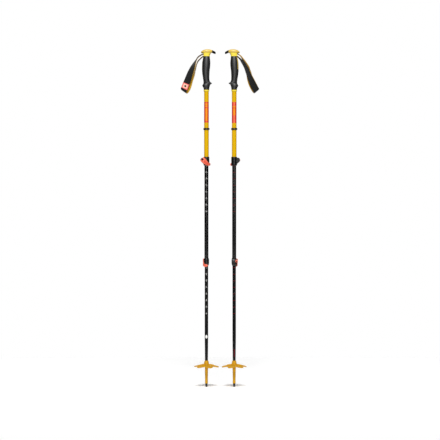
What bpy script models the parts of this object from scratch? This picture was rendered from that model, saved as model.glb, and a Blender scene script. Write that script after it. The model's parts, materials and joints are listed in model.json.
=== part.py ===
"""A pair of three-section telescopic poles with flip-lever locks, wrist straps and snow baskets.

Each pole is built in its own frame: the pole's axis is Z, heights are measured up from the
tip, the cap's beak points along +X, the wrist strap hangs towards -X and the upper lever lies
on the -Y side. The right pole is the left one turned half a turn about the vertical.
The origin of the whole part is the middle of the left grip.
"""

from math import cos, pi, radians, sin, sqrt

import bmesh
import bpy
from mathutils import Matrix, Vector

MM = 0.001

# Driving dimensions in millimetres. Heights are above the tip of the pole.
HOLD_HEIGHT = 1200.0
POLE_SPACING = 106.0
GAP = 0.3

UPPER_R, MIDDLE_R, LOWER_R, TAPER_R = 9.0, 7.8, 6.7, 5.25
WALL = 0.8
UPPER_TOP, UPPER_END = 1262.4, 848.0
MIDDLE_TOP, MIDDLE_END = 963.0, 465.5
LOWER_TOP, TAPER_TOP, TAPER_END, LOWER_END = 581.0, 187.0, 103.0, 62.0

GRIP_TOP, GRIP_END = 1262.4, 1135.0
COLLAR_END = 1128.7
CHOKE_Z, CHOKE_R, CHOKE_H = 982.0, 12.0, 7.0

CAP_UNDERSIDE = 1274.0
BEAK_SPLIT = 21.5
PLUG_TOP = CAP_UNDERSIDE - GAP
PIN_X, PIN_Z, PIN_R = -8.0, 1268.5, 2.0

UPPER_LOCK_Z, LOWER_LOCK_Z, LOWER_LOCK_SCALE = 846.0, 463.5, 0.9
LOCK_HEIGHT, LOCK_BODY_R = 33.0, 11.2
BOSS_X, BOSS_Z, BOSS_R = -13.0, 21.0, 9.2
EAR_FRONT, EAR_REAR, EAR_SLIT = -4.0, 6.5, 1.5
LEVER_TILT = radians(44.0)
LEVER_R, LEVER_THICK = 12.3, 2.6
LEVER_HEEL, LEVER_TAIL, LEVER_HALF = -4.0, 43.0, 9.7
LEVER_BEND_START, LEVER_BEND_R = 20.0, 18.2
NOTCH_RUN, NOTCH_HALF = 3.5, 3.4
CAM_Y, CAM_R, CAM_HALF = -9.5, 5.2, 3.6
CAM_PIN_R, CAM_PIN_HALF, SCREW_R = 3.0, 3.4, 2.0
CAM_OFFSET = 3.4

STRAP_EXIT = (-22.5, 1265.5)
STRAP_ROUTE = [
    (-32.5, 1255.5), (-42.5, 1238.5), (-51.5, 1220.0), (-59.0, 1202.0),
    (-66.5, 1184.0), (-74.5, 1165.0), (-82.0, 1148.0), (-87.5, 1135.5),
]
STRAP_HEAD_WIDTH, STRAP_WIDTH = 15.0, 25.0
STRAP_GAP, STRAP_SHIFT = 8.6, 6.0
STRAP_LEAN = {"left_": 0.0, "right_": radians(2.5)}
WEBBING, LINING, PATCH = 1.4, 1.3, 0.6

FERRULE_R, FERRULE_TOP, FERRULE_END = 6.2, 101.0, 14.0
BASKET_R, BASKET_Z, BASKET_DROOP, BASKET_THICK, PETALS = 47.5, 85.0, 6.5, 2.2, 6
HUB_TOP, HUB_END = 100.6, 82.0

ROUND = 18
OVAL = 16
UP, ACROSS = Vector((0.0, 0.0, 1.0)), Vector((0.0, 1.0, 0.0))

BLACK = ("black_plastic", (0.02, 0.02, 0.022), 0.45, 0.0)
RUBBER = ("grip_rubber", (0.018, 0.018, 0.02), 0.75, 0.0)
YELLOW_PAINT = ("yellow_paint", (0.78, 0.48, 0.01), 0.3, 0.0)
YELLOW_PLASTIC = ("yellow_plastic", (0.74, 0.5, 0.06), 0.4, 0.0)
BLACK_PAINT = ("black_paint", (0.015, 0.015, 0.017), 0.3, 0.0)
CORAL = ("coral_plastic", (0.9, 0.16, 0.11), 0.35, 0.0)
WEB_BLACK = ("black_webbing", (0.02, 0.02, 0.02), 0.9, 0.0)
WEB_YELLOW = ("yellow_lining", (0.45, 0.26, 0.0), 0.9, 0.0)
STEEL = ("steel", (0.45, 0.45, 0.46), 0.3, 1.0)


# ---------------------------------------------------------------- scene and objects

def empty_scene():
    for item in list(bpy.data.objects):
        bpy.data.objects.remove(item, do_unlink=True)


def new_collection(name):
    collection = bpy.data.collections.new(name)
    bpy.context.scene.collection.children.link(collection)
    return collection


def finish_of(spec):
    name, colour, roughness, metallic = spec
    found = bpy.data.materials.get(name)
    if found:
        return found
    made = bpy.data.materials.new(name)
    made.use_nodes = True
    shader = made.node_tree.nodes["Principled BSDF"]
    shader.inputs["Base Color"].default_value = (*colour, 1.0)
    shader.inputs["Roughness"].default_value = roughness
    shader.inputs["Metallic"].default_value = metallic
    return made


def add_frame(name, parent=None, at=(0.0, 0.0, 0.0), turn=0.0):
    """An empty that carries pieces: at is in millimetres, turn is about Z."""
    empty = bpy.data.objects.new(name, None)
    PARTS.objects.link(empty)
    empty.parent = parent
    empty.location = Vector(at) * MM
    empty.rotation_euler = (0.0, 0.0, turn)
    return empty


def add_object(name, bm, frame, finish=None):
    """Turn a bmesh in millimetres into an object; with no finish it is a cutter."""
    bm.transform(Matrix.Scale(MM, 4))
    mesh = bpy.data.meshes.new(name)
    bm.to_mesh(mesh)
    bm.free()
    mesh.shade_smooth()
    mesh.set_sharp_from_angle(angle=radians(35.0))
    item = bpy.data.objects.new(name, mesh)
    item.parent = frame
    if finish:
        mesh.materials.append(finish_of(finish))
        PARTS.objects.link(item)
    else:
        item.hide_render = True
        item.display_type = "WIRE"
        CUTTERS.objects.link(item)
    return item


def combine(item, operation, *others):
    for other in others:
        step = item.modifiers.new(operation.lower() + "_" + other.name, "BOOLEAN")
        step.operation = operation
        step.solver = "EXACT"
        step.object = other
    return item


# ---------------------------------------------------------------- shapes

def turned(name, frame, finish, profile, ring=False, steps=ROUND):
    """Spin a profile of (radius, height) about Z. It runs down the outer side; a ring closes on itself."""
    bm = bmesh.new()
    points = [bm.verts.new((radius, 0.0, height)) for radius, height in profile]
    for first, second in zip(points, points[1:]):
        bm.edges.new((first, second))
    if ring:
        bm.edges.new((points[-1], points[0]))
    item = add_object(name, bm, frame, finish)
    spin = item.modifiers.new("spin", "SCREW")
    spin.steps = spin.render_steps = steps
    spin.use_merge_vertices = True
    spin.merge_threshold = 0.00001
    spin.use_smooth_shade = True
    return item


def cylinder(name, frame, finish, radius, low, high, direction=UP, centre=(0.0, 0.0, 0.0), steps=ROUND):
    """A cylinder from low to high along a direction, measured from its centre point."""
    bm = bmesh.new()
    bmesh.ops.create_cone(bm, cap_ends=True, segments=steps, radius1=radius, radius2=radius, depth=high - low)
    middle = Vector(centre) + direction * (low + high) / 2
    turn = direction.to_track_quat("Z", "Y").to_matrix().to_4x4()
    bm.transform(Matrix.Translation(middle) @ turn)
    return add_object(name, bm, frame, finish)


def box(name, frame, finish, low, high, turn=None):
    bm = bmesh.new()
    bmesh.ops.create_cube(bm, size=1.0)
    low, high = Vector(low), Vector(high)
    bm.transform(Matrix.Translation((low + high) / 2) @ Matrix.Diagonal((*(high - low), 1.0)))
    if turn:
        bm.transform(turn)
    return add_object(name, bm, frame, finish)


def loft(name, frame, finish, rings):
    """Skin rings that have the same number of points, and cap the two ends."""
    bm = bmesh.new()
    rows = [[bm.verts.new(point) for point in ring] for ring in rings]
    count = len(rows[0])
    for row, following in zip(rows, rows[1:]):
        for i in range(count):
            j = (i + 1) % count
            bm.faces.new((row[i], row[j], following[j], following[i]))
    bm.faces.new(rows[0])
    bm.faces.new(rows[-1])
    bmesh.ops.triangulate(bm, faces=bm.faces)
    bmesh.ops.recalc_face_normals(bm, faces=bm.faces)
    return add_object(name, bm, frame, finish)


def oval(height, rear, front, half, power=2.0, count=OVAL):
    """A level ring from x = rear to x = front; a power above 2 squares its corners."""
    middle, reach = (rear + front) / 2, (front - rear) / 2
    ring = []
    for i in range(count):
        angle = 2 * pi * (i + 0.5) / count
        c, s = cos(angle), sin(angle)
        stretch = (abs(c) ** power + abs(s) ** power) ** (-1.0 / power)
        ring.append((middle + reach * c * stretch, half * s * stretch, height))
    return ring


def tube(name, frame, finish, sections, wall=WALL):
    """A tube whose outer side is a list of (radius, height), top first."""
    inside = [(radius - wall, height) for radius, height in reversed(sections)]
    return turned(name, frame, finish, sections + inside, ring=True)


# ---------------------------------------------------------------- head and grip

# Sections of the cap from its rear overhang to its front: x, underside, top, half width.
CAP_FORM = [
    (-20.8, 1277.2, 1279.0, 4.0), (-19.5, 1275.9, 1281.4, 7.5), (-16.5, 1274.8, 1284.0, 10.2),
    (-11.0, CAP_UNDERSIDE, 1287.3, 12.8), (-2.0, CAP_UNDERSIDE, 1289.8, 14.4),
    (7.0, CAP_UNDERSIDE, 1290.0, 14.4), (14.0, 1274.7, 1289.4, 12.6), (18.5, 1276.6, 1288.2, 10.6),
    (BEAK_SPLIT, 1278.3, 1286.9, 9.0),
]

BEAK_FORM = [
    (BEAK_SPLIT + GAP, 1278.2, 1286.6, 8.9), (27.0, 1276.0, 1284.4, 8.4), (31.5, 1273.6, 1281.8, 7.4),
    (34.0, 1272.9, 1280.2, 6.2), (35.2, 1273.9, 1278.8, 4.6),
]

PLUG_FORM = [
    (1262.8, -12.0, 12.6, 11.2), (1266.5, -11.8, 13.0, 11.4), (1270.5, -12.0, 14.0, 11.8),
    (PLUG_TOP, -12.4, 16.0, 12.0),
]

GRIP_FORM = [
    (GRIP_TOP, -11.4, 12.4, 11.3), (1252.0, -13.4, 13.6, 13.0), (1240.0, -15.6, 14.8, 14.3),
    (1225.0, -16.3, 14.2, 14.8), (1210.0, -16.8, 12.2, 14.5), (1195.0, -15.6, 11.4, 13.8),
    (1181.0, -13.4, 11.0, 12.8), (1169.5, -11.8, 12.2, 12.2), (1163.5, -11.3, 16.0, 12.0),
    (1160.3, -11.7, 21.2, 11.6), (1157.5, -12.6, 17.0, 11.8), (1152.0, -15.6, 13.9, 12.3),
    (1146.0, -13.4, 11.9, 12.0), (1141.0, -11.0, 11.0, 11.0), (GRIP_END, -10.2, 10.7, 10.7),
]

SPINE_FORM = [(1262.0, -11.4), (1252.0, -13.4), (1240.0, -15.6), (1225.0, -16.3), (1213.0, -16.7)]


def head_section(x, low, high, half, count=OVAL):
    """An upright ring across the head: its lower half is squarer than its domed top."""
    middle, reach = (low + high) / 2, (high - low) / 2
    ring = []
    for i in range(count):
        angle = 2 * pi * (i + 0.5) / count
        c, s = cos(angle), sin(angle)
        power = 2.3 if s > 0 else 4.5
        stretch = (abs(c) ** power + abs(s) ** power) ** (-1.0 / power)
        ring.append((x, half * c * stretch, middle + reach * s * stretch))
    return ring


def build_head(side, pole):
    cap = loft(side + "cap", pole, YELLOW_PLASTIC, [head_section(*row) for row in CAP_FORM])
    loft(side + "cap_beak", pole, BLACK, [head_section(*row) for row in BEAK_FORM])

    plug = loft(side + "head_plug", pole, YELLOW_PLASTIC, [oval(*row, power=5.0) for row in PLUG_FORM])
    spigot = cylinder(side + "cut_spigot", pole, None, UPPER_R - WALL - GAP, 1245.0, 1264.0)
    combine(plug, "UNION", spigot)
    slot_half = STRAP_HEAD_WIDTH / 2 + GAP
    room_r = PIN_R + GAP + WEBBING + LINING + GAP
    turn_room = cylinder(
        side + "cut_turn_room", pole, None, room_r, -slot_half, slot_half, ACROSS, (PIN_X, 0, PIN_Z))
    exit_room = box(
        side + "cut_exit_room", pole, None,
        (-30.0, -slot_half, PIN_Z - room_r - 1.0), (PIN_X, slot_half, PIN_Z + room_r - 0.3))
    pin_hole = cylinder(side + "cut_pin_hole", pole, None, PIN_R + GAP, -9.6, 9.6, ACROSS, (PIN_X, 0, PIN_Z), 16)
    screw_well = cylinder(side + "cut_screw_well", pole, None, 4.0, 1240.0, 1262.0, UP, (3.5, 0, 0), 16)
    screw_hole = cylinder(side + "cut_screw_hole", pole, None, 2.1, 1240.0, 1276.0, UP, (3.5, 0, 0), 12)
    combine(plug, "DIFFERENCE", turn_room, exit_room, pin_hole, screw_well, screw_hole)

    thread_hole = cylinder(side + "cut_thread_hole", pole, None, 2.1, 1270.0, 1284.0, UP, (3.5, 0, 0), 12)
    combine(cap, "DIFFERENCE", thread_hole)
    screw_frame = add_frame(side + "cap_screw_axis", pole, (3.5, 0, 0))
    turned(side + "cap_screw", screw_frame, STEEL, [
        (0.0, 1283.5), (1.5, 1283.5), (1.8, 1282.9), (1.8, 1261.7), (3.6, 1261.7),
        (3.6, 1259.2), (1.6, 1259.2), (1.6, 1260.4), (0.0, 1260.4)], steps=12)
    cylinder(side + "strap_pin", pole, STEEL, PIN_R, -9.2, 9.2, ACROSS, (PIN_X, 0, PIN_Z), 16)


def build_grip(side, pole):
    grip = loft(side + "grip", pole, RUBBER, [oval(*row) for row in GRIP_FORM])
    bore = cylinder(side + "cut_grip_bore", pole, None, UPPER_R + GAP, 1130.0, 1270.0)

    def spine_rings(grow):
        rings = []
        for height, rear in SPINE_FORM:
            lift = grow * (2.0 if height == SPINE_FORM[0][0] else 0.0)
            drop = grow if height == SPINE_FORM[-1][0] else 0.0
            inner = min(rear + 2.8, -UPPER_R - 2 * GAP)
            rings.append(oval(height + lift - drop, rear - 0.4 - grow, inner + grow, 4.5 + grow, 3.0, 12))
        return rings

    loft(side + "grip_spine", pole, YELLOW_PLASTIC, spine_rings(0.0))
    groove = loft(side + "cut_spine_groove", pole, None, spine_rings(GAP))
    combine(grip, "DIFFERENCE", bore, groove)

    inner = UPPER_R + GAP
    turned(side + "grip_collar", pole, YELLOW_PLASTIC, [
        (10.2, 1134.7), (10.8, 1134.2), (10.6, 1129.6), (10.0, COLLAR_END),
        (inner, COLLAR_END), (inner, 1134.7)], ring=True)


# ---------------------------------------------------------------- wrist strap

def smooth(value):
    value = min(max(value, 0.0), 1.0)
    return value * value * (3 - 2 * value)


def strap_centres(steps=20):
    """Evenly counted points and directions on one smooth curve through the strap's route."""
    lead_in = (2 * STRAP_EXIT[0] - STRAP_ROUTE[0][0] + 2.0, STRAP_EXIT[1] + 3.0)
    ends = STRAP_ROUTE[-1]
    lead_out = (2 * ends[0] - STRAP_ROUTE[-2][0] + 3.0, 2 * ends[1] - STRAP_ROUTE[-2][1])
    knots = [Vector((x, 0.0, z)) for x, z in [lead_in, STRAP_EXIT, *STRAP_ROUTE, lead_out]]
    spans = len(knots) - 3
    result = []
    for i in range(steps + 1):
        place = min(i / steps * spans, spans - 1e-6)
        span, t = int(place), place - int(place)
        a, b, c, d = knots[span:span + 4]
        point = 0.5 * (2 * b + (c - a) * t + (2 * a - 5 * b + 4 * c - d) * t ** 2
                       + (3 * b - a - 3 * c + d) * t ** 3)
        slope = 0.5 * ((c - a) + 2 * (2 * a - 5 * b + 4 * c - d) * t + 3 * (3 * b - a - 3 * c + d) * t ** 2)
        result.append((i / steps, point, slope.normalized()))
    return result


def strap_stations():
    """Stations round the loop: point, outward normal, width direction, width and share of the strand.

    The two strands leave the head one above the other and twist a quarter turn on the way down,
    so that the webbing's face looks along Y where the loop folds at its bottom.
    """
    front, rear = [], []
    for share, centre, along in strap_centres():
        twist = smooth((share - 0.12) / 0.34) * pi / 2
        across = Vector((along.z, 0.0, -along.x))
        normal = across * cos(twist) + Vector((0.0, -1.0, 0.0)) * sin(twist)
        width_way = along.cross(normal)
        width = STRAP_HEAD_WIDTH + (STRAP_WIDTH - STRAP_HEAD_WIDTH) * smooth(share / 0.35)
        half_gap = STRAP_GAP / 2 + 0.6 * smooth(share / 0.3)
        shift = -across * STRAP_SHIFT * smooth((share - 0.25) / 0.6)
        front.append((centre + normal * half_gap, normal, width_way, width, share))
        rear.append((centre - normal * half_gap + shift, -normal, width_way, width, share))
    fold = []
    _, normal, width_way, width, _ = front[-1]
    radius = half_gap
    for i in range(1, 7):
        angle = pi * i / 7
        outward = normal * cos(angle) + along * sin(angle)
        slide = shift * (1 - cos(angle)) / 2
        fold.append((centre + outward * radius + slide, outward, width_way, width, 1.0))
    return front + fold + rear[::-1]


def ribbon(name, frame, finish, stations, inner, outer, extra=0.0):
    """A flat band along the stations, from inner to outer along each station's outward normal."""
    rings = []
    for point, outward, across, width, _ in stations:
        side = across * (width / 2 + extra)
        low, high = point + outward * inner, point + outward * outer
        rings.append([low - side, low + side, high + side, high - side])
    return loft(name, frame, finish, rings)


def build_strap(side, pole):
    """The two straps hang at slightly different angles, as they were left."""
    frame = add_frame(side + "strap_axis", pole, (STRAP_EXIT[0], 0.0, STRAP_EXIT[1]))
    frame.rotation_euler = (0.0, -STRAP_LEAN[side], 0.0)
    back = Vector((-STRAP_EXIT[0], 0.0, -STRAP_EXIT[1]))
    stations = [(point + back, *rest) for point, *rest in strap_stations()]
    ribbon(side + "strap", frame, WEB_BLACK, stations, 0.0, WEBBING)
    ribbon(side + "strap_lining", frame, WEB_YELLOW, stations, -GAP - LINING, -GAP, 0.8)
    labelled = [station for station in stations[:19] if 0.76 < station[4] < 0.96]
    ribbon(side + "strap_patch", frame, CORAL, labelled, WEBBING + GAP, WEBBING + GAP + PATCH, -1.0)

    pin = Vector((PIN_X, 0.0, PIN_Z))
    along = (Vector((STRAP_EXIT[0], 0.0, STRAP_EXIT[1])) - pin).normalized()
    normal = Vector((along.z, 0.0, -along.x))
    radius, reach = PIN_R + GAP, 9.3
    turns = [(pin + along * reach + normal * radius, normal)]
    for i in range(9):
        angle = pi * i / 8
        outward = normal * cos(angle) - along * sin(angle)
        turns.append((pin + outward * radius, outward))
    turns.append((pin + along * reach - normal * radius, -normal))
    across = Vector((0.0, 1.0, 0.0))
    held = [(point, outward, across, STRAP_HEAD_WIDTH, 0.0) for point, outward in turns]
    ribbon(side + "strap_anchor", pole, WEB_BLACK, held, 0.0, WEBBING + LINING - GAP)


# ---------------------------------------------------------------- shafts

def build_shafts(side, pole):
    tube(side + "upper_shaft", pole, YELLOW_PAINT, [(UPPER_R, UPPER_TOP), (UPPER_R, UPPER_END)])
    inner = UPPER_R + GAP
    turned(side + "choke_ring", pole, BLACK, [
        (CHOKE_R - 1.0, CHOKE_Z + CHOKE_H), (CHOKE_R, CHOKE_Z + CHOKE_H - 1.2), (CHOKE_R, CHOKE_Z + 1.2),
        (CHOKE_R - 1.0, CHOKE_Z), (inner, CHOKE_Z), (inner, CHOKE_Z + CHOKE_H)], ring=True)
    tube(side + "middle_shaft", pole, BLACK_PAINT, [(MIDDLE_R, MIDDLE_TOP), (MIDDLE_R, MIDDLE_END)])
    tube(side + "lower_shaft", pole, BLACK_PAINT, [
        (LOWER_R, LOWER_TOP), (LOWER_R, TAPER_TOP), (TAPER_R, TAPER_END), (TAPER_R, LOWER_END)])
    for name, top, outside in (("middle_bushing", MIDDLE_TOP, MIDDLE_R), ("lower_bushing", LOWER_TOP, LOWER_R)):
        spigot, bore = outside - WALL - GAP, outside - WALL - 2.2
        rim = outside + 0.1 if outside == MIDDLE_R else outside
        turned(side + name, pole, BLACK, [
            (rim - 0.4, top + 3.3), (rim, top + 2.8), (rim, top + GAP), (spigot, top + GAP),
            (spigot, top - 12.0), (bore, top - 12.0), (bore, top + 3.3)], ring=True)


# ---------------------------------------------------------------- locks

def lever_point(k, run, offset):
    """A point of the lever's inner face: run is along the lever from the cam's axis, offset is across it.

    The lever goes down at a slant and bends level towards its tail. Its face is flat beside the boss,
    and rolls round the shaft past its middle.
    """
    straight = min(run, LEVER_BEND_START)
    bent = min(max(run - LEVER_BEND_START, 0.0) / LEVER_BEND_R, LEVER_TILT)
    level = max(run - LEVER_BEND_START - LEVER_BEND_R * LEVER_TILT, 0.0)
    slant = LEVER_TILT - bent
    flat_x = BOSS_X + (straight - CAM_OFFSET) * cos(LEVER_TILT) + level
    flat_x += LEVER_BEND_R * (sin(LEVER_TILT) - sin(slant)) + offset * sin(slant)
    height = BOSS_Z - (straight - CAM_OFFSET) * sin(LEVER_TILT)
    height += LEVER_BEND_R * (cos(LEVER_TILT) - cos(slant)) + offset * cos(slant)
    if flat_x <= 0:
        return Vector((flat_x, -LEVER_R, height)) * k
    angle = flat_x / LEVER_R
    return Vector((LEVER_R * sin(angle), -LEVER_R * cos(angle), height)) * k


def lever_half_width(run):
    """The lever is a teardrop: round over the boss, narrower towards its rounded tail."""
    widest_at, heel, tail_start = 4.0, 11.0, 37.0
    if run < widest_at:
        return LEVER_HALF * sqrt(1 - ((widest_at - run) / heel) ** 2)
    body = LEVER_HALF - 4.5 * smooth((run - widest_at) / (tail_start - widest_at))
    past = max((run - tail_start) / (LEVER_TAIL - tail_start + 0.3), 0.0)
    return body * sqrt(1 - past ** 2)


def build_lock(side, pole, level, base, k, outer_tube, inner_tube, turn):
    """A clamp body with two ears, its tension screw and cam pin, and the lever that turns on the pin."""
    lock = add_frame(side + level + "_lock", pole, (0.0, 0.0, base), turn)
    name = side + level

    body_r, height = LOCK_BODY_R * k, LOCK_HEIGHT * k
    wide, narrow, ledge = outer_tube + GAP, inner_tube + GAP, (UPPER_END - UPPER_LOCK_Z - GAP) * k
    clamp = turned(name + "_clamp", lock, BLACK, [
        (0.0, height), (body_r - 1.2, height), (body_r, height - 1.6), (body_r, 1.4),
        (body_r - 1.0, 0.0), (0.0, 0.0)])
    ear_y = (EAR_FRONT * k, EAR_REAR * k)
    boss = cylinder(name + "_cut_boss", lock, None, BOSS_R * k, *ear_y, ACROSS, (BOSS_X * k, 0, BOSS_Z * k))
    bridge = box(
        name + "_cut_bridge", lock, None,
        (BOSS_X * k - 0.7, ear_y[0] + 0.4, (BOSS_Z - 7.6) * k), (-5.0, ear_y[1] - 0.4, (BOSS_Z + 7.6) * k))
    bore = turned(name + "_cut_bore", lock, None, [
        (0.0, height + 3.0), (wide, height + 3.0), (wide, ledge), (narrow, ledge), (narrow, -3.0), (0.0, -3.0)])
    slit = box(
        name + "_cut_slit", lock, None,
        (-40.0, -EAR_SLIT / 2, -5.0), (-3.0, EAR_SLIT / 2, height + 5.0))
    pin_x = (BOSS_X - CAM_OFFSET * cos(LEVER_TILT)) * k
    pin_z = (BOSS_Z + CAM_OFFSET * sin(LEVER_TILT)) * k
    hole = cylinder(name + "_cut_hole", lock, None, SCREW_R + GAP, -12.0, 20.0, ACROSS, (pin_x, 0, pin_z), 16)
    combine(clamp, "UNION", boss, bridge)
    combine(clamp, "DIFFERENCE", bore, slit, hole)

    hinge = add_frame(name + "_lever_axis", lock, (pin_x, CAM_Y * k, pin_z))
    pin_way = Vector((sin(LEVER_TILT), 0.0, cos(LEVER_TILT)))
    pin_half = CAM_PIN_HALF * k
    pin = cylinder(name + "_cam_pin", hinge, STEEL, CAM_PIN_R * k, -pin_half, pin_half, pin_way, steps=20)
    thread = cylinder(name + "_cut_thread", hinge, None, SCREW_R + GAP, -0.6, 8.0, ACROSS, steps=12)
    combine(pin, "DIFFERENCE", thread)

    head = EAR_REAR * k - CAM_Y * k + GAP
    screw = turned(name + "_tension_screw", hinge, STEEL, [
        (0.0, head + 0.9), (1.7, head + 0.9), (1.7, head + 2.4), (3.2, head + 2.4), (3.6, head + 1.8),
        (3.6, head), (SCREW_R, head), (SCREW_R, -0.2), (0.0, -0.2)], steps=16)
    screw.rotation_euler = (-pi / 2, 0.0, 0.0)

    build_lever(name, hinge, k, Vector((pin_x, CAM_Y * k, pin_z)), pin_way)


def build_lever(name, hinge, k, axis_point, pin_way):
    runs, across = 17, 4
    bm = bmesh.new()
    rows = []
    for i in range(runs + 1):
        run = LEVER_HEEL + (LEVER_TAIL - LEVER_HEEL) * i / runs
        half = lever_half_width(run)
        rows.append([
            bm.verts.new(lever_point(k, run, half * (2 * j / across - 1)) - axis_point)
            for j in range(across + 1)])
    for row, following in zip(rows, rows[1:]):
        for j in range(across):
            bm.faces.new((row[j], row[j + 1], following[j + 1], following[j]))
    bmesh.ops.recalc_face_normals(bm, faces=bm.faces)
    if sum(face.normal.y for face in bm.faces) > 0:
        bmesh.ops.reverse_faces(bm, faces=bm.faces)
    lever = add_object(name + "_lever", bm, hinge, CORAL)
    shell = lever.modifiers.new("thickness", "SOLIDIFY")
    shell.thickness = LEVER_THICK * k * MM
    shell.offset = 1.0
    shell.use_even_offset = True
    cam = cylinder(name + "_cut_cam", hinge, None, CAM_R * k, -CAM_HALF * k, CAM_HALF * k, pin_way, steps=20)
    seat = cylinder(name + "_cut_seat", hinge, None, CAM_PIN_R * k + GAP, -30.0, 30.0, pin_way, steps=20)
    tilt = Matrix.Rotation(LEVER_TILT, 4, "Y")
    slot_half = SCREW_R + GAP
    slot = box(
        name + "_cut_slot", hinge, None,
        (-12.0, -3.1 * k, -slot_half), (slot_half, 12.0, slot_half), tilt)
    notch = box(
        name + "_cut_notch", hinge, None,
        (-12.0, -8.0 * k, -NOTCH_HALF * k), (NOTCH_RUN * k, -2.9 * k, NOTCH_HALF * k), tilt)
    combine(lever, "UNION", cam)
    combine(lever, "DIFFERENCE", seat, slot, notch)


# ---------------------------------------------------------------- tip and basket

def build_tip(side, pole):
    bore = TAPER_R + GAP
    turned(side + "tip_ferrule", pole, YELLOW_PLASTIC, [
        (FERRULE_R, FERRULE_TOP), (FERRULE_R, 73.0), (5.0, FERRULE_END), (2.6, FERRULE_END),
        (2.6, 30.0), (1.2, 31.0), (1.2, 60.0), (bore, 61.5), (bore, FERRULE_TOP)], ring=True)
    turned(side + "tip_cup", pole, BLACK, [
        (2.3, 27.0), (2.3, 13.7), (4.7, 13.7), (4.7, 9.0), (3.7, 4.0), (1.9, 3.4),
        (1.9, 16.0), (1.0, 17.0), (1.0, 27.0)], ring=True, steps=20)
    turned(side + "carbide_tip", pole, STEEL, [
        (0.0, 15.6), (1.6, 15.6), (1.6, 3.2), (2.6, 2.6), (1.6, 0.0), (0.0, 0.0)], steps=16)

    hub = turned(side + "cut_hub", pole, None, [
        (7.7, HUB_TOP), (9.5, 87.0), (9.5, HUB_END), (FERRULE_R + GAP, HUB_END),
        (FERRULE_R + GAP, HUB_TOP)], ring=True)
    bm = bmesh.new()
    spokes, reaches = 24, (0.17, 0.36, 0.7, 1.0)
    rows = []
    for reach in reaches:
        row = []
        for i in range(spokes):
            angle = 2 * pi * (i + 0.5) / spokes
            notch = 0.5 - 0.5 * cos(PETALS * angle)
            radius = BASKET_R * (reach - 0.14 * notch * reach ** 3)
            lift = BASKET_DROOP * reach ** 2 * (1 - 0.35 * notch)
            row.append(bm.verts.new((radius * cos(angle), radius * sin(angle), BASKET_Z - lift)))
        rows.append(row)
    for k, (row, following) in enumerate(zip(rows, rows[1:])):
        for i in range(spokes):
            middle_of_petal = i % (spokes // PETALS) in (0, 3)
            if k == 1 and middle_of_petal:
                continue
            j = (i + 1) % spokes
            bm.faces.new((row[i], following[i], following[j], row[j]))
    basket = add_object(side + "basket", bm, pole, YELLOW_PLASTIC)
    sheet = basket.modifiers.new("thickness", "SOLIDIFY")
    sheet.thickness = BASKET_THICK * MM
    sheet.offset = -1.0
    combine(basket, "UNION", hub)


def build_pole(side, place, turn):
    pole = add_frame(side + "pole", None, (place, 0.0, -HOLD_HEIGHT), turn)
    build_head(side, pole)
    build_grip(side, pole)
    build_strap(side, pole)
    build_shafts(side, pole)
    build_lock(side, pole, "upper", UPPER_LOCK_Z, 1.0, UPPER_R, MIDDLE_R, 0.0)
    build_lock(side, pole, "lower", LOWER_LOCK_Z, LOWER_LOCK_SCALE, MIDDLE_R, LOWER_R, -pi / 2)
    build_tip(side, pole)


empty_scene()
PARTS = new_collection("telescopic_pole_pair")
CUTTERS = new_collection("cutters")
build_pole("left_", 0.0, 0.0)
build_pole("right_", POLE_SPACING, pi)
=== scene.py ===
import json
from math import atan2, cos, hypot, pi, radians, sin, sqrt

import bmesh
import bpy
from mathutils import Matrix, Vector


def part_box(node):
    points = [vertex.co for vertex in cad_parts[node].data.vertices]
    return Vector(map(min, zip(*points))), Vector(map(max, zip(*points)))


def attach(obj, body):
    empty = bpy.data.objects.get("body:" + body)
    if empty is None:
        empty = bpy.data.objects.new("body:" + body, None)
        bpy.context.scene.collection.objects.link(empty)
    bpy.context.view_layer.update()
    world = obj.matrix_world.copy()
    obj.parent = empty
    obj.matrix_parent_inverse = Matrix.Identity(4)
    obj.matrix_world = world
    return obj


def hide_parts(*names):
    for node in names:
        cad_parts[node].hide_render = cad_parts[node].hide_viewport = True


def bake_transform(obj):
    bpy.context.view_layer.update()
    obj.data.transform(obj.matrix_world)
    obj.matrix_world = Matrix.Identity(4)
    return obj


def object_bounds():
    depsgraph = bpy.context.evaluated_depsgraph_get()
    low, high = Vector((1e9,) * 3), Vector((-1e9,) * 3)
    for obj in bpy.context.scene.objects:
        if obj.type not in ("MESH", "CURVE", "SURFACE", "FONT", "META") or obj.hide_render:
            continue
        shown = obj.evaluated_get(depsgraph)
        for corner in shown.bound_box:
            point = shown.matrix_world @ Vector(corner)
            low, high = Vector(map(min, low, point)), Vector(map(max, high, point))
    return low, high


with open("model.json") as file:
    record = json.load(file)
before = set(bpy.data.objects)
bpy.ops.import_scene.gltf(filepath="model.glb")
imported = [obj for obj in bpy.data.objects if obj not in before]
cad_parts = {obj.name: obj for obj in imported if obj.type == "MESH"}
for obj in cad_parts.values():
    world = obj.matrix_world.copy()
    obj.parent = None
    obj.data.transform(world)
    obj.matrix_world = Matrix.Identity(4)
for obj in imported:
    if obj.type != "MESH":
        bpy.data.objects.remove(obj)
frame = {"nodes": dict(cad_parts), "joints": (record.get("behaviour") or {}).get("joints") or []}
cad_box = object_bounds()

# Each pole is worked out in its own millimetres: Z runs up its axis from the tip, the beak points
# along +X and the strap hangs towards -X. Pole.place takes those to the row frame.
MM = 0.001
# Play between pieces that fit into each other, in millimetres.
GAP = 0.3
LATHE_STEPS = 72
JOINTS = {joint["name"]: joint for joint in frame["joints"]}


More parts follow.
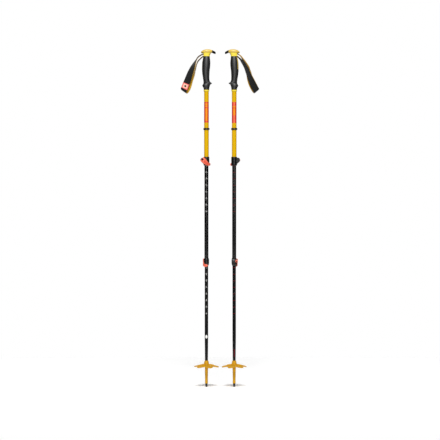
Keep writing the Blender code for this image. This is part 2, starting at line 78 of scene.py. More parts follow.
class Pole:
    """One pole's place in the row frame, and the frame's sizes in the pole's own millimetres."""

    def __init__(self, side):
        self.side = side
        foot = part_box(side + "carbide_tip")
        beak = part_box(side + "cap_beak")
        axis = (foot[0] + foot[1]) / 2
        turned = (beak[0].x + beak[1].x) / 2 < axis.x
        self.place = (
            Matrix.Translation((axis.x, axis.y, foot[0].z))
            @ Matrix.Rotation(pi if turned else 0.0, 4, "Z"))

    def local(self, point):
        return (self.place.inverted() @ Vector(point)) / MM

    def world(self, point):
        return self.place @ (Vector(point) * MM)

    def box(self, node):
        ends = [self.local(corner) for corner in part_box(self.side + node)]
        return Vector(map(min, *ends)), Vector(map(max, *ends))

    def radius(self, node):
        low, high = self.box(node)
        return (high.y - low.y) / 2


# ---------------------------------------------------------------- materials

# The studio's lights add up to a little over white, and this allows for that.
SURFACE_SHARE = 0.8


def shade(colour, factor=1.0):
    """A colour as it is seen on a screen, from 0 to 255, as the linear share of light it returns."""
    def linear(value):
        value /= 255
        return value / 12.92 if value <= 0.04045 else ((value + 0.055) / 1.055) ** 2.4
    return tuple(min(SURFACE_SHARE * linear(value) * factor, 1.0) for value in colour) + (1.0,)


class Finish:
    """Node material builder round one Principled BSDF."""

    def __init__(self, name, roughness, metallic=0.0, specular=0.5):
        self.material = bpy.data.materials.new(name)
        self.material.use_nodes = True
        self.tree = self.material.node_tree
        self.shader = self.tree.nodes["Principled BSDF"]
        self.surface({"Roughness": roughness, "Metallic": metallic, "Specular IOR Level": specular})

    def give(self, node, inputs):
        """Link outputs of other nodes to a node's inputs, or set their values."""
        for key, value in inputs.items():
            if isinstance(value, bpy.types.NodeSocket):
                self.tree.links.new(value, node.inputs[key])
            else:
                node.inputs[key].default_value = value

    def surface(self, inputs):
        self.give(self.shader, inputs)

    def node(self, kind, inputs=(), **settings):
        made = self.tree.nodes.new(kind)
        for key, value in settings.items():
            setattr(made, key, value)
        self.give(made, dict(inputs))
        return made

    def coords(self, kind="Object", scale=(1.0, 1.0, 1.0)):
        source = self.node("ShaderNodeTexCoord").outputs[kind]
        return self.node("ShaderNodeMapping", {"Vector": source, "Scale": scale}).outputs["Vector"]

    def noise(self, where, scale, detail=3.0):
        made = self.node("ShaderNodeTexNoise", {"Vector": where, "Scale": scale, "Detail": detail})
        return made.outputs["Fac"]

    def ramp(self, value, stops, smooth="LINEAR"):
        made = self.node("ShaderNodeValToRGB", {"Fac": value})
        made.color_ramp.interpolation = smooth
        points = made.color_ramp.elements
        while len(points) < len(stops):
            points.new(0.5)
        for point, (position, colour) in zip(points, stops):
            point.position = position
            point.color = colour
        return made.outputs["Color"]

    def blend(self, factor, first, second):
        inputs = {0: factor, 6: first, 7: second}
        return self.node("ShaderNodeMix", inputs, data_type="RGBA").outputs[2]

    def bump(self, height, distance):
        """Small relief, its depth in millimetres."""
        inputs = {"Height": height, "Distance": distance * MM, "Strength": 1.0}
        self.surface({"Normal": self.node("ShaderNodeBump", inputs).outputs["Normal"]})

    def roughness(self, value, low, high):
        made = self.node("ShaderNodeMapRange", {"Value": value, "To Min": low, "To Max": high})
        self.surface({"Roughness": made.outputs["Result"]})

    def tints(self, value, colour, *stops):
        """A colour that a value makes darker or paler: stops of (value, factor)."""
        return self.ramp(value, [(position, shade(colour, factor)) for position, factor in stops])


def plastic(name, colour, roughness, grain=0.02, cells_per_metre=1500, specular=0.5, worn=None):
    """Moulded plastic: a fine grain, slow colour drift, and paler edges where it rubs."""
    made = Finish(name, roughness, specular=specular)
    where = made.coords()
    drift = made.noise(where, 45.0)
    fine = made.noise(where, cells_per_metre, 2.0)
    body = made.tints(drift, colour, (0.3, 0.93), (0.7, 1.06))
    if worn:
        edge = made.node("ShaderNodeNewGeometry").outputs["Pointiness"]
        mask = made.ramp(edge, [(0.53, (0, 0, 0, 1)), (0.62, (0.6, 0.6, 0.6, 1))])
        body = made.blend(mask, body, shade(worn))
    made.surface({"Base Color": body})
    made.roughness(drift, roughness - 0.05, roughness + 0.07)
    made.bump(fine, grain)
    return made.material


def tube_paint(name, colour, roughness, specular):
    """Coated tube: faint lines along its length, from the way it was drawn, under an even gloss."""
    made = Finish(name, roughness, specular=specular)
    along = made.noise(made.coords(scale=(1.0, 1.0, 0.02)), 900.0, 2.0)
    made.surface({"Base Color": made.tints(along, colour, (0.3, 0.95), (0.7, 1.04))})
    made.bump(along, 0.004)
    made.roughness(along, roughness - 0.03, roughness + 0.05)
    return made.material


def printed(name, front, between, sides):
    """Print on the upper tube, with painted shading: one colour down the front and the back, another down
    its sides. The bands are the print's own colours; the paler middle and the deeper sides are painted
    highlight and shade of the tube's curve.
    """
    made = Finish(name, 0.34, specular=0.12)
    where = made.node("ShaderNodeTexCoord").outputs["Object"]
    sideways = made.node("ShaderNodeSeparateXYZ", {"Vector": where}).outputs["X"]
    share = made.node("ShaderNodeMath", {0: sideways, 1: 1 / (UPPER_RADIUS * MM)}, operation="MULTIPLY")
    off_centre = made.node("ShaderNodeMath", {0: share.outputs[0]}, operation="ABSOLUTE").outputs[0]
    # Paler in the middle of the front and the back, deeper at the sides: painted highlight and shade laid
    # over the print's colours.
    stops = [(0.18, shade(front)), (0.5, shade(between)), (0.82, shade(sides))]
    made.surface({"Base Color": made.ramp(off_centre, stops, "EASE")})
    made.bump(made.noise(made.coords(), 1200.0, 2.0), 0.004)
    return made.material


def foam(name, colour):
    """Closed-cell rubber foam: small open cells, matt, paler where the cells catch the light."""
    made = Finish(name, 0.5, specular=1.0)
    where = made.coords()
    cells = made.node("ShaderNodeTexVoronoi", {"Vector": where, "Scale": 1400.0}).outputs["Distance"]
    made.surface({"Base Color": made.tints(cells, colour, (0.1, 0.6), (0.6, 1.5))})
    made.roughness(made.noise(where, 160.0), 0.44, 0.56)
    made.bump(cells, 0.03)
    return made.material


def woven(name, colour, ribs, sheen=0.2, depth=0.12):
    """Webbing: u runs across it and v along it, both in metres. Ribs cross finer picks."""
    made = Finish(name, 0.82, specular=0.2)
    where = made.node("ShaderNodeTexCoord").outputs["UV"]
    warp, weft = (
        made.node("ShaderNodeTexWave", {"Vector": where, "Scale": scale, "Distortion": 0.4},
                  bands_direction=way).outputs["Fac"]
        for way, scale in (("X", ribs), ("Y", ribs * 1.6)))
    threads = made.node("ShaderNodeMath", {0: warp, 1: weft}, operation="MULTIPLY").outputs[0]
    dust = made.tints(made.noise(where, 260.0), colour, (0.3, 0.7), (0.7, 1.4))
    body = made.blend(0.25, made.tints(threads, colour, (0.0, 0.55), (0.8, 1.35)), dust)
    made.surface({"Base Color": body, "Sheen Weight": sheen})
    made.bump(threads, depth)
    return made.material


def metal(name, colour, roughness):
    """Turned steel: fine rings from the tool, and darker patches."""
    made = Finish(name, roughness, metallic=1.0)
    rings = made.noise(made.coords(scale=(0.05, 0.05, 1.0)), 5200.0, 2.0)
    patches = made.noise(made.coords(), 220.0)
    made.surface({"Base Color": made.tints(patches, colour, (0.3, 0.75), (0.7, 1.1))})
    made.roughness(patches, roughness, roughness + 0.15)
    made.bump(rings, 0.008)
    return made.material


UPPER_RADIUS = (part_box("left_upper_shaft")[1].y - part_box("left_upper_shaft")[0].y) / 2 / MM
PAINT_YELLOW = tube_paint("yellow_tube_paint", (226, 177, 0), 0.4, 0.12)
PAINT_BLACK = tube_paint("black_tube_paint", (4, 4, 4), 0.26, 0.62)
ANODISED_BLACK = tube_paint("black_anodised_tube", (3, 3, 3), 0.3, 0.22)
# Print colours with painted highlight and shade: paler in the middle of the front and back, deeper at the
# sides.
SHADED_PRINT_RED = printed("red_print_painted_shade", (240, 96, 60), (216, 50, 46), (188, 24, 46))
SHADED_PRINT_ORANGE = printed("orange_print_painted_shade", (246, 160, 30), (236, 116, 34), (206, 72, 36))
SHADED_PRINT_FIELD = printed("field_print_painted_shade", (255, 156, 36), (226, 92, 28), (202, 44, 40))
SHADED_PRINT_SALMON = printed("salmon_print_painted_shade", (246, 122, 84), (224, 62, 48), (202, 28, 44))
CAP_YELLOW = plastic("cap_yellow", (232, 196, 88), 0.34, 0.015, worn=(250, 230, 150))
NECK_YELLOW = plastic("neck_yellow", (250, 226, 70), 0.36, 0.015, specular=0.35)
BASKET_YELLOW = plastic("basket_yellow", (210, 154, 10), 0.4, specular=0.25, worn=(224, 176, 50))
FERRULE_YELLOW = plastic("ferrule_yellow", (206, 152, 14), 0.42, specular=0.2, worn=(230, 180, 60))
MOULDED_BLACK = plastic("moulded_black", (8, 9, 10), 0.36, specular=0.55, worn=(40, 40, 44))
BEAK_BLACK = plastic("beak_black", (8, 8, 9), 0.5, 0.04, specular=0.2)
LEVER_CORAL = plastic("lever_coral", (244, 112, 86), 0.32, 0.012, specular=0.35, worn=(255, 170, 150))
PANEL_CORAL = plastic("panel_coral", (224, 84, 58), 0.45, 0.05, 2600, 0.25)
GRIP_FOAM = foam("grip_foam", (10, 10, 10))
WEB_BLACK = woven("strap_webbing", (19, 20, 19), 620.0)
WEB_LINING = woven("strap_lining", (206, 158, 10), 900.0, sheen=0.5, depth=0.06)
THREAD = plastic("stitch_thread", (34, 34, 34), 0.8, 0.03, 3000, 0.2)
PATCH_CORAL = plastic("patch_coral", (255, 198, 176), 0.55, 0.05, 2200, 0.2)
PATCH_EDGE = plastic("patch_edge", (246, 108, 108), 0.6, 0.04, 2200, 0.2)
PATCH_MARK = plastic("patch_mark", (24, 4, 8), 0.6, 0.03, 2200, 0.2)
MARK_WHITE = plastic("mark_white", (236, 236, 232), 0.5, 0.005, 2200, 0.2)
MARK_GREY = plastic("mark_grey", (118, 118, 116), 0.5, 0.005, 2200, 0.2)
MARK_RED = plastic("mark_red", (128, 6, 26), 0.5, 0.005, 2200, 0.2)
STEEL = metal("machined_steel", (178, 178, 182), 0.26)
DARK_STEEL = metal("blackened_steel", (70, 70, 74), 0.34)
CARBIDE = metal("carbide", (120, 122, 126), 0.4)


# ---------------------------------------------------------------- shapes

def smooth(value):
    value = min(max(value, 0.0), 1.0)
    return value * value * (3 - 2 * value)


def flow(rows, steps, last_slope=None):
    """Rows of numbers on a smooth curve through the given rows, with some steps between each two."""
    rows = [Vector(row) for row in rows]
    before = 2 * rows[0] - rows[1]
    after = rows[-2] + Vector(last_slope) if last_slope else 2 * rows[-1] - rows[-2]
    knots = [before, *rows, after]
    result = []
    for i in range(len(rows) - 1):
        a, b, c, d = knots[i:i + 4]
        for j in range(steps):
            t = j / steps
            result.append(0.5 * (
                2 * b + (c - a) * t + (2 * a - 5 * b + 4 * c - d) * t ** 2
                + (3 * b - a - 3 * c + d) * t ** 3))
    return result + [rows[-1]]


def rounded(profile, radius, closed=False, steps=4):
    """The same outline with each corner cut back into a short curve."""
    count = len(profile)
    points = [Vector(point) for point in profile]
    result = []
    for i, corner in enumerate(points):
        if radius == 0 or (not closed and i in (0, count - 1)):
            result.append(corner)
            continue
        before, after = points[i - 1] - corner, points[(i + 1) % count] - corner
        reach = min(radius, before.length * 0.45, after.length * 0.45)
        start, end = corner + before.normalized() * reach, corner + after.normalized() * reach
        for j in range(steps + 1):
            t = j / steps
            result.append(start * (1 - t) ** 2 + corner * 2 * t * (1 - t) + end * t ** 2)
    return result


def around(count):
    """Angles spread evenly over a full turn."""
    return [2 * pi * i / count for i in range(count)]


def skin(rings, bm=None, loop=False, paint=None):
    """Quads between rings of points. paint(ring, point) gives a face's material number."""
    if bm is None:
        bm = bmesh.new()
    rows = [[bm.verts.new(point) for point in ring] for ring in rings]
    count = len(rows[0])
    pairs = list(zip(rows, rows[1:])) + ([(rows[-1], rows[0])] if loop else [])
    for k, (row, following) in enumerate(pairs):
        for i in range(count):
            j = (i + 1) % count
            face = bm.faces.new((row[i], row[j], following[j], following[i]))
            if paint:
                face.material_index = paint(k, i)
    if not loop:
        for row in (rows[0], rows[-1]):
            bm.faces.new(row)
    return bm


def lathe(profile, ring=False, steps=LATHE_STEPS, paint=None):
    """Turn a profile of (radius, height) about Z. A radius of nothing becomes a tiny one."""
    rings = []
    for radius, height in profile:
        reach = max(radius, 0.02)
        rings.append([(reach * cos(angle), reach * sin(angle), height) for angle in around(steps)])
    return skin(rings, loop=ring, paint=paint)


def disc(radius, low, high, edge=0.8, steps=48):
    """A solid cylinder along Z with rounded rims."""
    return lathe(rounded([(0, high), (radius, high), (radius, low), (0, low)], edge), steps=steps)


def block(low, high, edge=0.0):
    bm = bmesh.new()
    bmesh.ops.create_cube(bm, size=1.0)
    low, high = Vector(low), Vector(high)
    bm.transform(Matrix.Translation((low + high) / 2) @ Matrix.Diagonal((*(high - low), 1.0)))
    if edge:
        bmesh.ops.bevel(bm, geom=bm.edges[:], offset=edge, segments=3, profile=0.5, affect="EDGES")
    return bm


def moved(bm, matrix):
    bm.transform(matrix)
    return bm


def meshed(name, bm):
    """The bmesh as a mesh. The bmesh is used up."""
    mesh = bpy.data.meshes.new(name)
    bm.to_mesh(mesh)
    bm.free()
    return mesh


def linked(name, data):
    """A new object in the scene."""
    item = bpy.data.objects.new(name, data)
    bpy.context.scene.collection.objects.link(item)
    return item


def evaluated(item):
    """What an object's modifiers or lettering come to, as a bmesh."""
    depsgraph = bpy.context.evaluated_depsgraph_get()
    mesh = bpy.data.meshes.new_from_object(item.evaluated_get(depsgraph))
    bm = bmesh.new()
    bm.from_mesh(mesh)
    bpy.data.meshes.remove(mesh)
    return bm


def combine(base, tool, operation="DIFFERENCE"):
    """Boolean of two closed meshes, as a new mesh. Both are used up.

    Faces that meet exactly can spoil the result, so its volume is tested, and the tool is nudged
    by about a hundredth of a millimetre when the volume can't be right.
    """
    pair, volumes = [], []
    for bm in (base, tool):
        bmesh.ops.recalc_face_normals(bm, faces=bm.faces)
        volumes.append(abs(bm.calc_volume()))
        pair.append(linked("work", meshed("work", bm)))
    (body, cutter), (before, cut) = pair, volumes
    least, most = before, before + cut
    if operation == "DIFFERENCE":
        least, most = before - cut, before
    step = body.modifiers.new("step", "BOOLEAN")
    step.operation, step.solver, step.object = operation, "EXACT", cutter
    for nudge in range(6):
        cutter.location = Vector((0.011, 0.007, 0.013)) * nudge
        result = evaluated(body)
        volume = abs(result.calc_volume())
        if least * 0.999 <= volume <= most * 1.001 and volume > 0.02 * before:
            break
    else:
        print("combine: no sound result", operation, before, cut, volume)
    for item in pair:
        mesh = item.data
        bpy.data.objects.remove(item)
        bpy.data.meshes.remove(mesh)
    return result


def add(pole, name, bm, finishes, body, nodes=(), sharp=35.0, place=None):
    """Put a mesh, in the pole's millimetres, into the scene on a body, in place of the CAD nodes."""
    bmesh.ops.recalc_face_normals(bm, faces=bm.faces)
    if place:
        bm.transform(place)
    bm.transform(Matrix.Scale(MM, 4))
    item = linked(pole.side + name, meshed(pole.side + name, bm))
    for finish in finishes:
        item.data.materials.append(finish)
    item.data.shade_smooth()
    item.data.set_sharp_from_angle(angle=radians(sharp))
    item.matrix_world = pole.place
    if body:
        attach(item, pole.side + body)
    if nodes:
        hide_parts(*[pole.side + node for node in nodes])
    return item


# ---------------------------------------------------------------- head

# Sections of the cap from its rear overhang to its front: x, underside, top, half width.
CAP_FORM = [
    (-21.0, 1277.6, 1278.8, 2.6), (-20.4, 1276.6, 1280.4, 5.6), (-18.6, 1275.5, 1282.7, 8.6),
    (-15.0, 1274.4, 1285.2, 11.2), (-9.0, 1274.0, 1288.2, 13.5), (-1.0, 1274.0, 1289.8, 14.4),
    (7.0, 1274.0, 1290.0, 14.2), (13.5, 1274.6, 1289.4, 12.7), (18.0, 1275.8, 1288.3, 10.8),
    (21.5, 1276.8, 1286.9, 9.2),
]
BEAK_FORM = [
    (21.56, 1276.7, 1286.7, 9.1), (24.0, 1275.5, 1285.9, 8.9), (27.5, 1273.9, 1284.2, 8.5),
    (31.0, 1272.5, 1282.3, 7.8), (33.4, 1272.0, 1281.0, 7.0), (34.8, 1272.7, 1279.8, 6.0),
    (35.3, 1274.2, 1278.6, 4.4),
]
NECK_FORM = [
    (1262.8, -12.2, 12.8, 11.4), (1264.6, -12.6, 13.4, 11.9), (1267.0, -12.4, 13.2, 11.7),
    (1270.5, -12.4, 14.2, 11.9), (1273.2, -12.8, 16.2, 12.2), (1276.5, -12.6, 16.0, 12.0),
]
# The slot for the strap in the neck's rear, and the top of the part that sits in the tube.
SLOT_HALF, SLOT_FRONT, SLOT_LOW, SLOT_HIGH = 8.4, -3.0, 1261.0, 1273.5
SPIGOT_TOP = 1263.4


def squarish(angle, power):
    """A point of a superellipse with half axes of one: round at a power of two, squarer above."""
    c, s = cos(angle), sin(angle)
    stretch = (abs(c) ** power + abs(s) ** power) ** (-1.0 / power)
    return c, s, stretch


def head_section(x, low, high, half):
    """An upright ring across the head: domed above, with sides that slope in below its ridge."""
    ridge, ring = low + (high - low) * 0.42, []
    for angle in around(56):
        c, s, stretch = squarish(angle, 2.25 if sin(angle) > 0 else 2.0)
        reach = high - ridge if s > 0 else ridge - low
        ring.append((x, half * c * stretch, ridge + reach * s * stretch))
    return ring


def oval(height, rear, front, half, power=2.0, count=72):
    middle, reach = (rear + front) / 2, (front - rear) / 2
    ring = []
    for i in range(count):
        c, s, stretch = squarish(2 * pi * (i + 0.5) / count, power)
        ring.append((middle + reach * c * stretch, half * s * stretch, height))
    return ring


def build_head(pole):
    cap = skin([head_section(*row) for row in flow(CAP_FORM, 6)])
    add(pole, "cap_shell", cap, [CAP_YELLOW], "upper", ["cap"])

    beak = skin([head_section(*row) for row in flow(BEAK_FORM, 5)])
    add(pole, "cap_nose", beak, [BEAK_BLACK], "upper", ["cap_beak"])

    neck = skin([oval(*row, power=3.4) for row in flow(NECK_FORM, 4)])
    neck = combine(neck, block((-30.0, -SLOT_HALF, SLOT_LOW), (SLOT_FRONT, SLOT_HALF, SLOT_HIGH)))
    spigot = disc(pole.radius("upper_shaft") - 1.2, pole.box("head_plug")[0].z, SPIGOT_TOP)
    neck = combine(neck, spigot, "UNION")
    add(pole, "neck", neck, [NECK_YELLOW], "upper", ["head_plug"])


# ---------------------------------------------------------------- grip

GRIP_FORM = [
    (1262.4, -11.0, 12.0, 11.0), (1261.0, -11.8, 12.7, 11.7), (1252.0, -13.5, 13.7, 13.1),
    (1240.0, -15.7, 14.8, 14.3), (1225.0, -16.4, 14.3, 14.8), (1210.0, -16.8, 12.4, 14.5),
    (1195.0, -15.6, 11.5, 13.8), (1181.0, -13.4, 11.2, 12.9), (1170.5, -11.9, 12.2, 12.3),
    (1165.0, -11.3, 15.0, 12.1), (1162.0, -11.4, 19.4, 11.8), (1160.2, -11.7, 21.6, 11.6),
    (1158.2, -12.3, 19.4, 11.7), (1155.4, -13.8, 15.4, 12.1), (1151.8, -15.8, 13.6, 12.5),
    (1148.5, -15.0, 12.6, 12.3), (1144.5, -12.4, 11.6, 11.6), (1140.5, -10.9, 11.0, 11.0),
    (1136.2, -10.3, 10.7, 10.7), (1135.0, -9.9, 10.3, 10.3),
]
SPINE_FORM = [(1262.0, -11.5), (1252.0, -13.5), (1240.0, -15.7), (1225.0, -16.4), (1213.0, -16.8)]
SPINE_TURN = radians(-15.0)


def grip_spine(pole, grow):
    """The strip let into the grip's back. The groove for it is the same shape, grown a little."""
    turn, rings = Matrix.Rotation(SPINE_TURN, 3, "Z"), []
    for height, rear in flow(SPINE_FORM, 6):
        inner = min(rear + 2.8, -pole.radius("upper_shaft") - 2 * GAP)
        ring = oval(height, rear - 0.25 - grow, inner + grow, 4.5 + grow, 3.2, 32)
        rings.append([turn @ Vector(point) for point in ring])
    if grow:
        rings[0] = [point + Vector((0.0, 0.0, 3.0)) for point in rings[0]]
        rings[-1] = [point - Vector((0.0, 0.0, grow)) for point in rings[-1]]
    return skin(rings)


def build_grip(pole):
    inner = pole.radius("upper_shaft") + GAP
    grip = skin([oval(*row) for row in flow(GRIP_FORM, 5)])
    grip = combine(grip, disc(inner, 1130.0, 1270.0, 0.0))
    grip = combine(grip, grip_spine(pole, 0.15))
    add(pole, "grip_foam", grip, [GRIP_FOAM], "upper", ["grip"], sharp=50)
    add(pole, "grip_inlay", grip_spine(pole, 0.0), [CAP_YELLOW], "upper", ["grip_spine"])

    low, high = pole.box("grip_collar")
    collar = rounded([
        (inner, high.z), (10.3, high.z), (10.9, high.z - 1.0), (10.7, low.z + 2.2),
        (10.2, low.z + 1.6), (10.2, low.z), (inner, low.z)], 0.4, closed=True)
    add(pole, "collar_ring", lathe(collar, ring=True), [NECK_YELLOW], "upper",
        ["grip_collar"])


# ---------------------------------------------------------------- wrist strap

# The loop's two strands from the pin in the head to the fold at the bottom, for each pole:
# centre of the outer strand (x, z), centre of the inner strand (x, z), and how far each has
# turned from edge-on, in degrees.
STRANDS = {
    "left_": [
        (-8.0, 1271.3, -8.0, 1265.7, 0, 0), (-16.0, 1270.3, -13.2, 1262.4, 0, 0),
        (-25.0, 1265.6, -18.8, 1258.0, 0, 0), (-33.0, 1258.9, -26.0, 1251.4, 0, 0),
        (-39.6, 1248.7, -32.2, 1244.4, 9, 0), (-45.6, 1237.2, -36.8, 1234.5, 22, 2),
        (-50.8, 1225.8, -40.4, 1223.0, 36, 6), (-56.0, 1213.0, -45.2, 1209.5, 49, 16),
        (-61.2, 1200.3, -52.0, 1196.5, 59, 42), (-66.0, 1187.0, -59.4, 1183.0, 70, 68),
        (-71.4, 1172.0, -65.0, 1168.5, 82, 84), (-77.2, 1157.5, -69.0, 1154.0, 90, 90),
        (-81.8, 1146.0, -73.4, 1142.0, 90, 90), (-86.0, 1136.8, -80.4, 1131.2, 90, 90),
    ],
    "right_": [
        (-8.0, 1271.3, -8.0, 1265.7, 0, 0), (-16.0, 1270.2, -13.6, 1261.8, 0, 2),
        (-24.0, 1264.3, -19.2, 1256.8, 4, 6), (-30.6, 1255.2, -25.6, 1250.2, 10, 13),
        (-37.0, 1244.5, -31.8, 1242.0, 16, 19), (-43.2, 1233.0, -38.3, 1232.3, 23, 24),
        (-48.6, 1221.0, -44.8, 1221.0, 32, 30), (-53.4, 1208.5, -50.6, 1208.0, 40, 38),
        (-57.2, 1195.0, -55.6, 1194.5, 46, 42), (-60.4, 1180.0, -61.3, 1180.0, 54, 50),
        (-64.8, 1166.0, -67.5, 1166.0, 66, 62), (-70.8, 1152.0, -73.8, 1152.5, 80, 74),
        (-76.8, 1141.0, -79.4, 1141.5, 90, 88), (-81.2, 1134.2, -83.4, 1134.8, 90, 90),
    ],
}
FOLD_WAY = {"left_": Vector((-0.57, 0.0, -0.82)), "right_": Vector((-0.647, 0.0, -0.762))}
FOLD_REACH, STRAND_DEPTH, HEAD_WIDTH, BAND_WIDTH = 5.0, 4.6, 15.0, 25.0
WEB_THICK, LINING_THICK = 1.7, 2.0
STRAND_STEPS = 7
# Two places on the strap near the head. They are taken to the row frame below, and nothing uses them.
SWING_START, SWING_END = (-13.5, 0.0, 1267.5), (-31.5, 0.0, 1263.5)
# The patch's two ends, short of the fold.
PATCH_START, PATCH_END = 24.0, 2.5


class Station:
    """A cross-section of the strap: its centre, outward normal, width direction and distance along."""

    def __init__(self, centre, outward, across, width, share):
        self.centre, self.outward, self.across = centre, outward, across
        self.width, self.share, self.run = width, share, 0.0

    def at(self, sideways, height):
        """A point of the strap, sideways from its middle and so far out from it."""
        return self.centre + self.across * sideways + self.outward * height


def strand(pole, outer):
    """Stations down one strand. The outer strand's webbing ends facing -Y, the inner one's +Y."""
    slope = FOLD_WAY[pole.side] * 26.0
    columns, hand = ((0, 1, 4), 1.0) if outer else ((2, 3, 5), -1.0)
    rows = [[row[column] for column in columns] for row in STRANDS[pole.side]]
    points = flow(rows, STRAND_STEPS, (slope.x, slope.z, 0.0))
    stations, last = [], len(points) - 1
    for i, (x, z, degrees) in enumerate(points):
        ahead, behind = points[min(i + 1, last)], points[max(i - 1, 0)]
        along = Vector((ahead.x - behind.x, 0.0, ahead.y - behind.y)).normalized()
        if i == last:
            along = FOLD_WAY[pole.side].normalized()
        turn = radians(min(max(degrees, 0.0), 90.0))
        level = Vector((along.z, 0.0, -along.x)) * hand
        depth = Vector((0.0, -hand, 0.0))
        outward = level * cos(turn) + depth * sin(turn)
        centre = Vector((x, 0.0, z)) + depth * STRAND_DEPTH * sin(turn)
        across = along.cross(outward).normalized() * hand
        width = HEAD_WIDTH + (BAND_WIDTH - HEAD_WIDTH) * smooth(i / last / 0.35)
        stations.append(Station(centre, outward, across, width, i / last))
    return stations


def strap_stations(pole):
    front, rear = strand(pole, True), strand(pole, False)
    down = FOLD_WAY[pole.side].normalized()
    first, last, fold = front[-1], rear[-1], []
    for i in range(1, 12):
        angle = pi * i / 12
        outward = Vector((0.0, -cos(angle), 0.0)) + down * sin(angle)
        middle = first.centre.lerp(last.centre, (1 - cos(angle)) / 2)
        middle.y = -STRAND_DEPTH * cos(angle)
        across = first.across.lerp(last.across, (1 - cos(angle)) / 2).normalized()
        fold.append(Station(middle + down * FOLD_REACH * sin(angle), outward, across, BAND_WIDTH, 1.0))
    loop = front + fold + rear[::-1]
    for before, station in zip(loop, loop[1:]):
        station.run = before.run + (station.centre - before.centre).length
    return loop


def around_pin(stations):
    """Carry the loop on round the pin in the head, from the inner strand back to the outer one."""
    start, end = stations[-1], stations[0]
    middle, turns = (start.centre + end.centre) / 2, []
    radius = (start.centre - end.centre).length / 2
    for i in range(1, 8):
        angle = pi * i / 8
        outward = Vector((sin(angle), 0.0, -cos(angle)))
        turns.append(Station(middle + outward * radius, outward, end.across, HEAD_WIDTH, 0.0))
        turns[-1].run = start.run + radius * angle
    return turns


def band(stations, inner, outer, grow, loop=False, spill=None, trim=None):
    """A soft band along the stations: bowed a little across its width, with rounded edges.

    spill(station) lets the band's one edge stand out past the webbing, where it turns up into a lip.
    trim(station) says how much is left off that edge and off the other one.
    """
    cells, bow = 10, 0.5
    thick, level = (outer - inner) / 2, (outer + inner) / 2
    rings, places = [], []
    for station in stations:
        half = station.width / 2 + grow
        extra = spill(station) if spill else 0.0
        near, far = trim(station) if trim else (0.0, 0.0)
        ring, place = [], []
        for side in (1.0, -1.0):
            for i in range(cells + 1):
                share = (2 * i / cells - 1) * side
                edge = sqrt(max(1 - max(abs(share) - 0.88, 0.0) ** 2 / 0.0169, 0.05))
                rise = level + side * thick * edge + bow * (0.5 - share * share)
                reach = half * share + (extra - near) * max(share, 0.0) - far * min(share, 0.0)
                if extra > 0 and side > 0:
                    rise += 0.75 * extra * smooth((share - 0.6) / 0.2)
                ring.append(station.at(reach, rise))
                place.append((half * share * MM, station.run * MM))
        rings.append(ring)
        places.append(place)
    bm = skin(rings, loop=loop)
    layer = bm.loops.layers.uv.verify()
    bm.faces.ensure_lookup_table()
    count = len(rings[0])
    for k in range(len(rings) - (0 if loop else 1)):
        for i in range(count):
            j, following = (i + 1) % count, (k + 1) % len(rings)
            corners = ((k, i), (k, j), (following, j), (following, i))
            for corner, (a, b) in zip(bm.faces[k * count + i].loops, corners):
                corner[layer].uv = places[a][b]
    return bm


def at_run(stations, run):
    for before, after in zip(stations, stations[1:]):
        if before.run <= run <= after.run:
            t = (run - before.run) / max(after.run - before.run, 1e-6)
            made = Station(
                before.centre.lerp(after.centre, t), before.outward.lerp(after.outward, t).normalized(),
                before.across.lerp(after.across, t).normalized(), before.width, before.share)
            made.run = run
            return made
    return stations[-1]


def stitches(stations, start, end, share, lift, pitch=3.4, length=2.3):
    """Two rows of thread stitches standing on the webbing, a share of its half width off its middle."""
    bm, thread = bmesh.new(), 0.24
    for offset in (share, -share):
        run = start
        while run + length < end:
            rings = []
            for i in range(5):
                station = at_run(stations, run + length * i / 4)
                side = offset * (station.width / 2 - 2.0)
                bow = 0.5 * (0.5 - (side / (station.width / 2)) ** 2)
                height = lift + bow + thread * sin(pi * i / 4) * 0.9 - 0.1
                radius = thread * (0.55 + 0.45 * sin(pi * i / 4))
                rings.append([
                    station.at(side + radius * cos(turn), height + radius * sin(turn))
                    for turn in around(6)])
            skin(rings, bm)
            run += pitch
    return bm


